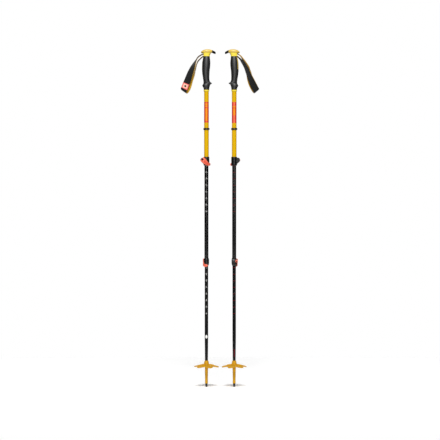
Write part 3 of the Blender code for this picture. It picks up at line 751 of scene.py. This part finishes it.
def build_strap(pole):
    loop = strap_stations(pole)
    web = band(loop + around_pin(loop), 0.1, WEB_THICK, 0.0, loop=True)
    total = loop[-1].run

    def spill(station):
        """The right strap's padding has slid over: it stands out of one strand and hides in the other."""
        if pole.side == "left_":
            return 0.0
        outer_edge = smooth((station.run - 8.0) / 10.0) * smooth((84.0 - station.run) / 14.0)
        back = total - station.run
        return 2.4 * outer_edge - 3.0 * smooth((back - 4.0) / 10.0) * smooth((84.0 - back) / 14.0)

    def trim(station):
        """The padding is cut narrower towards the head; the right strap's lies along one edge there."""
        ahead = min(station.run, total - station.run)
        if pole.side == "right_" and station.run < total / 2:
            return 0.0, 0.8 * station.width * (1 - smooth((ahead - 66.0) / 30.0))
        narrow = 3.0 * (1 - smooth((ahead - 36.0) / 24.0))
        return narrow, narrow

    lining = band(loop, -LINING_THICK - 0.1, -0.1, 0.5, spill=spill, trim=trim)
    thread = stitches(loop, 22.0, total - 22.0, 1.0, WEB_THICK)

    fold = next(station.run for station in loop if station.share >= 1.0 - 1e-6)
    start, end = fold - PATCH_START, fold - PATCH_END
    label = [at_run(loop, start + (end - start) * i / 14) for i in range(15)]
    patch = band(label, WEB_THICK + 0.1, WEB_THICK + 0.8, -0.4)
    inset = band(label[2:-2], WEB_THICK + 0.7, WEB_THICK + 1.0, -3.0)
    seam = stitches(loop, start + 1.0, end - 1.0, 0.93, WEB_THICK + 0.8, 2.6, 1.8)
    middle = at_run(loop, (start + end) / 2)
    columns = (middle.across, middle.outward.cross(middle.across), middle.outward)
    place = Matrix.Translation(middle.at(0.0, WEB_THICK + 1.0)) @ Matrix(columns).transposed().to_4x4()
    mark = moved(combine(disc(4.0, 0.0, 0.9, 0.3, 40), disc(0.8, -1.0, 2.0, 0.0, 32)), place)
    pieces = [
        add(pole, "strap_web", web, [WEB_BLACK], None, ["strap", "strap_anchor"], 60),
        add(pole, "strap_padding", lining, [WEB_LINING], None, ["strap_lining"], 60),
        add(pole, "strap_stitching", thread, [THREAD], None, sharp=60),
        add(pole, "strap_label", patch, [PATCH_EDGE], None, ["strap_patch"], 60),
        add(pole, "strap_label_field", inset, [PATCH_CORAL], None, sharp=60),
        add(pole, "strap_label_seam", seam, [PATCH_CORAL], None, sharp=60),
        add(pole, "strap_label_ring", mark, [PATCH_MARK], None),
    ]
    start, end = pole.world(SWING_START), pole.world(SWING_END)
    for item in pieces:
        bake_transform(item)
        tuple(start)
        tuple(end)


# ---------------------------------------------------------------- shafts

MARK_PITCH, MARK_LINE, MARK_HEIGHT = 25.0, 0.9, 3.4
TOP_MARK, LOW_MARK = 130, 95


def figure(text, radius, level):
    """Raised numerals that read upwards, wrapped on the front of a tube."""
    curve = bpy.data.curves.new("numeral", "FONT")
    curve.body = text
    curve.size = 1.0
    curve.align_x, curve.align_y = "CENTER", "CENTER"
    curve.extrude = 0.1
    item = linked("numeral", curve)
    bpy.context.view_layer.update()
    bm = evaluated(item)
    bpy.data.objects.remove(item)
    bpy.data.curves.remove(curve)
    bmesh.ops.remove_doubles(bm, verts=bm.verts, dist=1e-5)
    long_edges = [edge for edge in bm.edges if abs(edge.verts[0].co.y - edge.verts[1].co.y) > 0.25]
    bmesh.ops.subdivide_edges(bm, edges=long_edges, cuts=2)
    scale = MARK_HEIGHT / 0.7
    for vert in bm.verts:
        angle = vert.co.y * scale / radius
        reach = radius + (0.12 if vert.co.z > 0 else -0.12)
        vert.co = Vector((-reach * sin(angle), -reach * cos(angle), level + vert.co.x * scale))
    return bm


def merge(parts):
    whole = parts[0]
    for part in parts[1:]:
        mesh = meshed("part", part)
        whole.from_mesh(mesh)
        bpy.data.meshes.remove(mesh)
    return whole


def scale_marks(pole, name, radius, base, body):
    """Rings round the tube, red at its back, and a length numeral at each, in centimetres of pole."""
    rings, numerals, level = [], [], base
    inside, outside, half = radius - 0.2, radius + 0.08, MARK_LINE / 2
    for value in range(TOP_MARK, LOW_MARK - 1, -5):
        line = rounded([
            (inside, level + half), (outside, level + half), (outside, level - half),
            (inside, level - half)], 0.04, True, 1)
        rings.append(lathe(line, ring=True, paint=lambda ring, point: int(point >= LATHE_STEPS / 2)))
        numerals.append(figure(str(value), radius, level + 0.8))
        level -= MARK_PITCH
    add(pole, name + "_rings", merge(rings), [MARK_RED, MARK_GREY], body, sharp=60)
    add(pole, name + "_numerals", merge(numerals), [MARK_WHITE], body, sharp=40)


# Print on the upper tube, from the top: lower edge of each band and its material number.
PRINT_FRONT = [
    (1088.2, 0), (1083.2, 1), (1076.8, 2), (1075.0, 1), (1069.2, 2), (1064.6, 1), (1016.2, 3),
    (1009.7, 1), (0.0, 0)]
PRINT_BACK = [
    (1088.2, 0), (1072.8, 4), (1067.2, 2), (1063.8, 1), (1037.2, 3), (1008.2, 4), (0.0, 0)]


TUBE_WALL = 0.8
# The lower tube's taper: where it starts and bends, and the tube's radius inside the ferrule.
TAPER_START, TAPER_BEND, TAPERED_RADIUS = 187.0, 160.0, 5.25
DOT_LEVEL, DOT_HALF_WIDTH, DOT_HALF_HEIGHT = 192.5, 4.4, 6.5
# The bar's ends on the taper, as radius and height.
BAR_LOW, BAR_HIGH, BAR_HALF_WIDTH = Vector((5.9233, 115.0)), Vector((6.2811, 145.0)), 0.9


def build_upper_tube(pole):
    low, high = pole.box("upper_shaft")
    outer = pole.radius("upper_shaft")
    inner = outer - TUBE_WALL
    edges = sorted({level for level, _ in PRINT_FRONT + PRINT_BACK if low.z < level < high.z}, reverse=True)
    profile = [
        (outer - 0.25, high.z), (outer, high.z - 0.25), *[(outer, level) for level in edges],
        (outer, low.z + 0.25), (outer - 0.25, low.z), (inner, low.z), (inner, high.z)]

    def paint(ring, point):
        if ring >= len(profile) - 3:
            return 0
        level = (profile[ring][1] + profile[ring + 1][1]) / 2
        bands = PRINT_BACK if point < LATHE_STEPS / 2 else PRINT_FRONT
        return next(number for edge, number in bands if level >= edge)

    upper = lathe(profile, ring=True, paint=paint)
    add(pole, "upper_tube", upper, [PAINT_YELLOW, SHADED_PRINT_RED, SHADED_PRINT_ORANGE, SHADED_PRINT_FIELD, SHADED_PRINT_SALMON],
        "upper", ["upper_shaft"])

    low, high = pole.box("choke_ring")
    inner, rim = outer + GAP, pole.radius("choke_ring")
    ring = [
        (inner, low.z), (rim - 1.2, low.z), (rim, low.z + 1.2), (rim, low.z + 2.9),
        (rim - 0.5, low.z + 3.5), (rim, low.z + 4.1), (rim, high.z - 1.2), (rim - 1.2, high.z),
        (inner, high.z)]
    add(pole, "choke_band", lathe(rounded(ring, 0.7, closed=True), ring=True), [MOULDED_BLACK], "upper",
        ["choke_ring"])


def black_tube(pole, name, outside, finish, body):
    inside = [(radius - TUBE_WALL, level) for radius, level in reversed(outside)]
    tube = lathe(rounded(outside + inside, 0.25, closed=True, steps=2), ring=True)
    add(pole, name + "_tube", tube, [finish], body, [name + "_shaft"])


def build_shafts(pole):
    build_upper_tube(pole)
    upper_lock, lower_lock = pole.box("upper_clamp")[0].z, pole.box("lower_clamp")[0].z

    low, high = pole.box("middle_shaft")
    outer = pole.radius("middle_shaft")
    black_tube(pole, "middle", [(outer, high.z), (outer, low.z)], PAINT_BLACK, "middle")
    scale_marks(pole, "middle_scale", outer, upper_lock - 0.8, "middle")

    low, high = pole.box("lower_shaft")
    outer, ferrule = pole.radius("lower_shaft"), pole.box("tip_ferrule")[1].z
    outside = [
        (outer, high.z), (outer, TAPER_START), (outer - 0.3, TAPER_BEND),
        (TAPERED_RADIUS + 0.5, ferrule + 2.5), (TAPERED_RADIUS, ferrule + 1.0),
        (TAPERED_RADIUS, low.z)]
    black_tube(pole, "lower", outside, ANODISED_BLACK, "lower")
    scale_marks(pole, "lower_scale", outer, lower_lock - 7.7, "lower")

    shares = (0.0, 0.3, 0.55, 0.8, 1.0)
    dot = lathe([(share, 0.15) for share in shares] + [(share, -0.15) for share in reversed(shares)])
    for vert in dot.verts:
        angle, reach = vert.co.x * DOT_HALF_WIDTH / outer, outer + vert.co.z
        level = DOT_LEVEL + vert.co.y * DOT_HALF_HEIGHT
        vert.co = Vector((reach * sin(angle), -reach * cos(angle), level))
    add(pole, "tube_dot", dot, [MARK_WHITE], "lower", sharp=50)

    rings = []
    for i in range(13):
        reach, level = BAR_LOW.lerp(BAR_HIGH, i / 12)
        rings.append([
            (BAR_HALF_WIDTH * cos(turn), reach + 0.1 * sin(turn), level) for turn in around(8)])
    add(pole, "tube_bar", skin(rings), [MARK_RED], "lower", sharp=50)


# ---------------------------------------------------------------- locks

# Sizes of the upper lock. The lower one is a smaller copy of it.
CLAMP_HEIGHT, CLAMP_RADIUS, BOSS_RADIUS = 33.0, 11.2, 9.2
EAR_FRONT, EAR_REAR = -4.0, 6.5
CAM_RADIUS, CAM_LOW, CAM_HIGH, PIN_RADIUS = 5.2, -7.6, 3.6, 3.0
LEVER_HEEL, LEVER_HALF = -4.0, 9.7
LEVER_WRAP, LEVER_THICK, LEVER_BEND = 12.3, 3.0, 18.2
# How far down each lever starts to bend level, and where it ends.
LEVER_REACH = {"upper": (20.0, 43.0), "lower": (25.0, 49.0)}
NOTCH_HALF, NOTCH_RUN = 3.5, 4.4


class Lock:
    """A lock's own frame, worked out from its clamp and its lever's hinge."""

    def __init__(self, pole, level):
        joint = JOINTS[f"{pole.side}{level}_lever_hinge"]
        axis = pole.place.inverted().to_3x3() @ Vector(joint["axis"])
        turn = atan2(-axis.y, -axis.x)
        clamp = pole.box(level + "_clamp")
        self.pole, self.level = pole, level
        self.bend_start, self.tail = LEVER_REACH[level]
        self.k = (clamp[1].z - clamp[0].z) / CLAMP_HEIGHT
        self.tilt = atan2(hypot(axis.x, axis.y), -axis.z)
        self.place = Matrix.Translation((0.0, 0.0, clamp[0].z)) @ Matrix.Rotation(turn, 4, "Z")
        self.pin = self.place.inverted() @ pole.local(joint["pos_m"])
        self.pin_way = Vector((sin(self.tilt), 0.0, cos(self.tilt)))
        self.run_way = Vector((cos(self.tilt), 0.0, -sin(self.tilt)))
        self.boss = self.pin + self.run_way * 3.4 * self.k

    def along_pin(self, bm):
        """Take a shape built along Z about the origin to the hinge pin."""
        columns = (self.run_way, Vector((0.0, 1.0, 0.0)), self.pin_way)
        return moved(bm, Matrix.Translation(self.pin) @ Matrix(columns).transposed().to_4x4())

    def wrap(self, run, offset):
        """A point of the lever's inner face, and its outward direction. The lever goes down at a
        slant and bends level towards its tail, flat beside the boss and rolled round the tube."""
        straight = min(run, self.bend_start)
        slant = self.tilt - min(max(run - self.bend_start, 0.0) / LEVER_BEND, self.tilt)
        level = max(run - self.bend_start - LEVER_BEND * self.tilt, 0.0)
        flat_x = self.pin.x / self.k + straight * cos(self.tilt) + level
        flat_x += LEVER_BEND * (sin(self.tilt) - sin(slant)) + offset * sin(slant)
        height = self.pin.z / self.k - straight * sin(self.tilt)
        height += LEVER_BEND * (cos(self.tilt) - cos(slant)) + offset * cos(slant)
        if flat_x <= 0:
            return Vector((flat_x, -LEVER_WRAP, height)) * self.k, Vector((0.0, -1.0, 0.0))
        angle = flat_x / LEVER_WRAP
        outward = Vector((sin(angle), -cos(angle), 0.0))
        return (outward * LEVER_WRAP + Vector((0.0, 0.0, height))) * self.k, outward

    def half_width(self, run):
        """A teardrop: round over the boss, narrower towards its rounded tail."""
        widest_at, heel, tail_start = 4.0, 11.0, self.tail - 6.0
        if run < widest_at:
            return LEVER_HALF * sqrt(1 - ((widest_at - run) / heel) ** 2)
        body = LEVER_HALF - 4.5 * smooth((run - widest_at) / (tail_start - widest_at))
        past = max((run - tail_start) / (self.tail - tail_start + 0.15), 0.0)
        return body * sqrt(1 - past ** 2)

    def thickness(self, run, share):
        """Crowned across, thin at its rim, with a shallow panel sunk into its middle."""
        crown = LEVER_THICK * (1 - 0.22 * share ** 2) * sqrt(max(1 - abs(share) ** 5, 0.1))
        ends = min(run - LEVER_HEEL, self.tail - run) / 2.4
        crown *= 0.5 + 0.5 * sqrt(1 - (1 - min(ends, 1.0)) ** 2)
        panel = smooth((0.62 - abs(share)) / 0.1) * smooth((run - 9.0) / 1.6) * smooth((31.0 - run) / 1.6)
        return crown - 0.6 * panel, panel > 0.5


def build_lever(lock):
    k, pole = lock.k, lock.pole
    bm = bmesh.new()
    runs, across = 72, 26
    top, bottom, sunk = [], [], []
    for i in range(runs + 1):
        run = LEVER_HEEL + (lock.tail - LEVER_HEEL) * i / runs
        half = lock.half_width(run)
        for rows in (top, bottom, sunk):
            rows.append([])
        for j in range(across + 1):
            share = 2 * j / across - 1
            share = share * (1.35 - 0.35 * share ** 2)
            point, outward = lock.wrap(run, half * share)
            thick, panel = lock.thickness(run, share)
            top[i].append(bm.verts.new(point + outward * thick * k))
            bottom[i].append(bm.verts.new(point))
            sunk[i].append(panel)
    for i in range(runs):
        for j in range(across):
            face = bm.faces.new((top[i][j], top[i + 1][j], top[i + 1][j + 1], top[i][j + 1]))
            face.material_index = int(sunk[i][j] and sunk[i + 1][j + 1])
            bm.faces.new((bottom[i][j], bottom[i][j + 1], bottom[i + 1][j + 1], bottom[i + 1][j]))
        for j in (0, across):
            bm.faces.new((top[i][j], top[i + 1][j], bottom[i + 1][j], bottom[i][j]))
    for i in (0, runs):
        for j in range(across):
            bm.faces.new((top[i][j], top[i][j + 1], bottom[i][j + 1], bottom[i][j]))
    cam = lock.along_pin(disc(CAM_RADIUS * k, CAM_LOW * k, CAM_HIGH * k, 0.5))
    lever = combine(bm, cam, "UNION")
    notch = block((-14.0 * k, -14.0, -NOTCH_HALF * k), (NOTCH_RUN * k, 14.0, NOTCH_HALF * k))
    lever = combine(lever, lock.along_pin(notch))
    lever = combine(lever, lock.along_pin(disc(PIN_RADIUS * k + GAP, -12.0, 12.0, 0.0)))
    add(pole, lock.level + "_flip_lever", lever, [LEVER_CORAL, PANEL_CORAL], lock.level + "_lever_body",
        [lock.level + "_lever"], sharp=40, place=lock.place)


def crosswise(at, radius, front, rear, edge=0.0, steps=48):
    """A disc that runs from front to rear, level with a point."""
    turned = moved(disc(radius, front, rear, edge, steps), Matrix.Rotation(-pi / 2, 4, "X"))
    return moved(turned, Matrix.Translation((at.x, 0, at.z)))


def build_clamp(lock, wide, narrow, body):
    """The clamp body: a split collar with two ears and a hinge boss. The lower one is barrel-shaped.

    wide is the radius of its bore round the outer tube, and narrow the one round the inner tube.
    """
    k, pole, boss, pin = lock.k, lock.pole, lock.boss, lock.pin
    height, radius = CLAMP_HEIGHT * k, CLAMP_RADIUS * k
    ledge, front, rear = 1.7 * k, EAR_FRONT * k, EAR_REAR * k
    outline = [(radius - 0.8, height), (radius, height - 1.6), (radius, 3.0), (radius - 0.8, 0.0)]
    if lock.level == "lower":
        outline = [
            (wide - GAP + 1.0, height), (radius - 1.2, height - 2.4), (radius, height - 6.4),
            (radius, 8.5), (radius - 1.3, 3.2), (radius - 2.6, 0.0)]
    clamp = lathe(rounded([(0.0, height), *outline, (0.0, 0.0)], 2.4, steps=6))
    bridge = block(
        (boss.x - 0.7, front + 0.4, boss.z - 7.6 * k), (-5.0, rear - 0.4, boss.z + 7.6 * k), 0.8)
    added = [crosswise(boss, BOSS_RADIUS * k, front, rear, 1.0), bridge]
    if lock.level == "upper":
        web = rounded([
            (boss.x - 6.9, boss.z - 6.0), (-6.6, 0.8), (-3.0, 0.8), (-3.0, boss.z), (boss.x, boss.z)],
            0.8, closed=True)
        added.append(skin([[(x, y, z) for x, z in web] for y in (0.0, rear - 0.5)]))
    added.append(crosswise(pin, 6.2 * k, 0.0, rear + 0.9 * k, 0.4))
    for shape in added:
        clamp = combine(clamp, shape, "UNION")
    bore = lathe([
        (0.0, height + 3.0), (wide, height + 3.0), (wide, ledge), (narrow, ledge), (narrow, -3.0),
        (0, -3.0)])
    split = block((-40.0, -0.75, -5.0), (-3.0, 0.75, height + 5.0))
    well, hole = crosswise(pin, 4.6 * k, rear - 0.2, rear + 4.0), crosswise(pin, 2.3, -12.0, 20.0, 0.0, 32)
    for shape in (well, bore, split, hole):
        clamp = combine(clamp, shape)
    add(pole, lock.level + "_clamp_body", clamp, [MOULDED_BLACK], body,
        [lock.level + "_clamp"], sharp=40, place=lock.place)


def build_lock_metal(lock, body):
    k, pole = lock.k, lock.pole
    thread_hole = moved(disc(1.1, 0.0, 9.0, 0.0, 6), Matrix.Rotation(pi / 2, 4, "X"))
    pin = combine(disc(PIN_RADIUS * k, -3.4 * k, 3.4 * k, 0.4), thread_hole)
    add(pole, lock.level + "_barrel_nut", lock.along_pin(pin), [DARK_STEEL], body,
        [lock.level + "_cam_pin"], place=lock.place)
    head, end = EAR_REAR * k - lock.pin.y + GAP, 3.2 * k
    screw = lathe(rounded([
        (0.0, head + 2.4), (3.3, head + 2.4), (3.7, head + 1.9), (3.7, head), (2.0, head), (2.0, end),
        (0.0, end)], 0.3), steps=48)
    screw = combine(screw, disc(1.6, head + 0.9, head + 5.0, 0.0, 6))
    moved(screw, Matrix.Translation(lock.pin) @ Matrix.Rotation(-pi / 2, 4, "X"))
    add(pole, lock.level + "_clamp_screw", screw, [DARK_STEEL], body,
        [lock.level + "_tension_screw"], place=lock.place)


def build_locks(pole):
    for level, outer, inner, body in (
            ("upper", "upper_shaft", "middle_shaft", "upper"),
            ("lower", "middle_shaft", "lower_shaft", "middle")):
        lock = Lock(pole, level)
        build_clamp(lock, pole.radius(outer) + GAP, pole.radius(inner) + GAP, body)
        build_lock_metal(lock, body)
        build_lever(lock)


# ---------------------------------------------------------------- basket and tip

PETALS, SPOKES = 6, 96
BASKET_LEVEL, BASKET_THICK, RIM_LIFT = 85.0, 3.0, -1.3
BASKET_TURN = {"left_": radians(-11.0), "right_": radians(9.0)}
# Rings of the sheet as shares of its reach, then which gaps between rings and which of a petal's
# spokes the slots take.
SHEET_SHARES = (0.18, 0.25, 0.32, 0.38, 0.5, 0.62, 0.68, 0.78, 0.88, 0.95, 1.0)
SLOT_GAPS, SLOT_SPOKES = (3, 4, 5), (3, 4, 5, 6, 9, 10, 11, 12)


def basket_point(reach, share, angle, lift=0.0):
    """A point of the basket's sheet: share goes from the middle to the rim, and the rim is lobed."""
    notch = 0.5 - 0.5 * cos(PETALS * angle)
    radius = reach * (share - 0.3 * notch ** 1.5 * share ** 3)
    curl = 6.8 * share ** 2 * (1 - 0.5 * notch) - 0.9 * sin(pi * share)
    return Vector((radius * cos(angle), radius * sin(angle), BASKET_LEVEL - curl + lift))


def cut_round(base, count, reach, radius, low, high, edge, steps):
    """Cut upright holes out of a shape, spread evenly round Z."""
    for turn in around(count):
        place = Matrix.Translation((reach * cos(turn), reach * sin(turn), 0.0))
        base = combine(base, moved(disc(radius, low, high, edge, steps), place))
    return base


def build_basket(pole):
    low, high = pole.box("basket")
    reach = (high.x - low.x) / 2 + 0.9
    turn = Matrix.Rotation(BASKET_TURN[pole.side], 4, "Z")
    bm = bmesh.new()
    rows = [
        [bm.verts.new(basket_point(reach, share, angle)) for angle in around(SPOKES)]
        for share in SHEET_SHARES]
    for k, (row, following) in enumerate(zip(rows, rows[1:])):
        for i in range(SPOKES):
            if k in SLOT_GAPS and i % (SPOKES // PETALS) in SLOT_SPOKES:
                continue
            j = (i + 1) % SPOKES
            bm.faces.new((row[i], following[i], following[j], row[j]))
    sheet = add(pole, "basket_sheet", bm, [BASKET_YELLOW], "lower", ["basket"])
    shell = sheet.modifiers.new("thickness", "SOLIDIFY")
    shell.thickness, shell.offset = BASKET_THICK * MM, -1.0
    fine = sheet.modifiers.new("fine", "SUBSURF")
    fine.levels = fine.render_levels = 1
    sheet.data.transform(turn)

    ribs = bmesh.new()
    for petal in range(2 * PETALS):
        angle = pi * petal / PETALS
        rings, width = [], 1.15 if petal % 2 else 0.9
        across = Vector((-sin(angle), cos(angle), 0.0))
        for share in (0.16, 0.22, 0.32, 0.45, 0.6, 0.74, 0.84):
            centre = basket_point(reach, share, angle)
            tall = 2.2 * (1 - ((share - 0.16) / 0.72) ** 1.5) + 0.25
            half = [(1.0, -0.6), (0.85, tall * 0.7), (0.4, tall)]
            ring = [(-u, v) for u, v in half] + half[::-1]
            rings.append([centre + across * width * u + Vector((0.0, 0.0, v)) for u, v in ring])
        skin(rings, ribs)
    rim = []
    for angle in around(SPOKES * 2):
        centre = basket_point(reach, 0.985, angle, RIM_LIFT)
        out = Vector((cos(angle), sin(angle), 0.0))
        rim.append([
            centre + out * 1.5 * cos(turned) + Vector((0, 0, 1.9 * sin(turned))) for turned in around(10)])
    skin(rim, ribs, loop=True)
    ribs = add(pole, "basket_ribs", ribs, [BASKET_YELLOW], "lower", sharp=50)
    ribs.data.transform(turn)

    bore = pole.radius("tip_ferrule") + GAP
    hub = rounded([
        (bore, high.z), (7.1, high.z), (7.6, high.z - 0.6), (7.9, 97.4), (8.5, 96.8), (8.8, 93.2),
        (9.3, 92.6), (9.7, 87.6), (10.3, 86.4), (10.3, 82.6), (9.6, 81.8), (bore, 81.8)],
        0.45, closed=True)
    collar = cut_round(lathe(hub, ring=True), 12, 9.9, 1.1, 88.0, 96.0, 0.4, 20)
    add(pole, "basket_hub", collar, [BASKET_YELLOW], "lower", sharp=40)


def build_tip(pole):
    low, high = pole.box("tip_ferrule")
    outer, bore = pole.radius("tip_ferrule"), 5.55
    ferrule = lathe(rounded([
        (bore, high.z), (outer, high.z), (outer, 73.0), (5.35, 22.0), (5.5, 20.6), (5.5, 15.4),
        (5.0, low.z), (2.6, low.z), (2.6, 30.0), (1.2, 31.0), (1.2, 60.0), (bore, 61.5)],
        0.35, closed=True, steps=3), ring=True)
    for turn in around(4):
        fin = block((4.9, -0.5, 24.0), (5.95, 0.5, 44.0), 0.2)
        ferrule = combine(ferrule, moved(fin, Matrix.Rotation(turn + pi / 4, 4, "Z")), "UNION")
    add(pole, "tip_body", ferrule, [FERRULE_YELLOW], "lower", ["tip_ferrule"], sharp=40)

    low, high = pole.box("tip_cup")
    cup = lathe(rounded([
        (0.9, high.z), (2.3, high.z), (2.3, 13.7), (4.7, 13.7), (4.9, 11.5), (4.7, 8.6), (4.2, 5.0),
        (3.9, low.z), (3.0, low.z + 0.3), (1.95, low.z + 1.2), (1.95, 16.0), (0.9, 17.0)],
        0.3, closed=True, steps=3), ring=True, steps=60)
    cup = cut_round(cup, 6, 5.0, 0.9, -2.0, 12.0, 0.0, 20)
    add(pole, "tip_shoe", cup, [MOULDED_BLACK], "lower", ["tip_cup"], sharp=40)

    top = pole.box("carbide_tip")[1].z
    point = lathe(rounded([
        (0.0, top), (1.6, top), (1.6, 3.2), (2.5, 2.6), (2.3, 1.2), (1.6, 0.0), (0.0, 0.0)], 0.2))
    point = cut_round(point, 8, 2.55, 0.45, -1.0, 3.6, 0.0, 12)
    add(pole, "carbide_point", point, [CARBIDE], "lower", ["carbide_tip"], sharp=40)


# ---------------------------------------------------------------- studio

# Brightness of the surroundings on the object and in its reflections. The camera sees plain white.
AMBIENT, REFLECTED = 0.2, 0.03
FLOOR_HALF, FLOOR_DROP, FLOOR_GLOW = 1.3, 0.0002, 0.17
WHITE = (1.0, 1.0, 1.0, 1.0)
# Name, place from the object's middle, width and height, and power in watts.
LIGHTS = [
    ("key_softbox", (0.0, -6.1, 7.1), (3.0, 3.0), 1010.0),
    ("front_softbox", (-0.1, -3.2, 0.65), (0.55, 2.2), 21.0),
    ("back_softbox", (0.0, 3.4, 0.9), (2.4, 2.0), 8.0),
]
CAMERA_DISTANCE, FRAME_HEIGHT, SENSOR = 6.0, 1.681, 36.0
CAMERA_SHIFT = Vector((-0.0012, 0.0, -0.007))


def build_studio():
    low, high = cad_box
    grid = bmesh.new()
    bmesh.ops.create_grid(grid, x_segments=8, y_segments=8, size=FLOOR_HALF)
    floor = linked("floor", meshed("floor", grid))
    floor.location = (0.0, 0.0, low.z - FLOOR_DROP)
    finish = Finish("pale_floor", 0.9, specular=0.0)
    finish.surface({
        "Base Color": (0.93, 0.93, 0.93, 1.0), "Emission Color": WHITE, "Emission Strength": FLOOR_GLOW})
    floor.data.materials.append(finish.material)

    world = bpy.data.worlds.new("studio")
    bpy.context.scene.world = world
    world.use_nodes = True
    tree = world.node_tree
    background = tree.nodes["Background"]
    background.inputs["Color"].default_value = WHITE
    seen = tree.nodes.new("ShaderNodeLightPath")
    reflected, shown = tree.nodes.new("ShaderNodeMix"), tree.nodes.new("ShaderNodeMix")
    reflected.inputs[2].default_value, reflected.inputs[3].default_value = AMBIENT, REFLECTED
    shown.inputs[3].default_value = 1.0
    tree.links.new(seen.outputs["Is Glossy Ray"], reflected.inputs[0])
    tree.links.new(seen.outputs["Is Camera Ray"], shown.inputs[0])
    tree.links.new(reflected.outputs[0], shown.inputs[2])
    tree.links.new(shown.outputs[0], background.inputs["Strength"])

    for name, at, size, power in LIGHTS:
        data = bpy.data.lights.new(name, "AREA")
        data.shape, data.size, data.size_y = "RECTANGLE", size[0], size[1]
        data.energy = power
        lamp = linked(name, data)
        lamp.location = (low + high) / 2 + Vector(at)
        lamp.rotation_euler = (-Vector(at)).to_track_quat("-Z", "Y").to_euler()


def build_camera():
    low, high = cad_box
    data = bpy.data.cameras.new("camera")
    data.sensor_width = SENSOR
    data.lens = SENSOR * CAMERA_DISTANCE / FRAME_HEIGHT
    camera = linked("camera", data)
    axes = [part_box(side + "carbide_tip") for side in ("left_", "right_")]
    middle = sum(((a + b) / 4 for a, b in axes), Vector())
    camera.location = Vector((middle.x, -CAMERA_DISTANCE, (low.z + high.z) / 2)) + CAMERA_SHIFT
    camera.rotation_euler = (pi / 2, 0.0, 0.0)
    bpy.context.scene.camera = camera


def finish_inner_nodes():
    """The pieces inside the poles stay as the frame has them, with a material of their own."""
    for side in ("left_", "right_"):
        for node, finish in (
                ("cap_screw", STEEL), ("strap_pin", STEEL),
                ("middle_bushing", MOULDED_BLACK), ("lower_bushing", MOULDED_BLACK)):
            mesh = frame["nodes"][side + node].data
            mesh.materials.clear()
            mesh.materials.append(finish)


build_camera()
for side in ("left_", "right_"):
    pole = Pole(side)
    build_head(pole)
    build_grip(pole)
    build_strap(pole)
    build_shafts(pole)
    build_locks(pole)
    build_basket(pole)
    build_tip(pole)
finish_inner_nodes()
build_studio()
bpy.context.scene.view_settings.view_transform = "Standard"
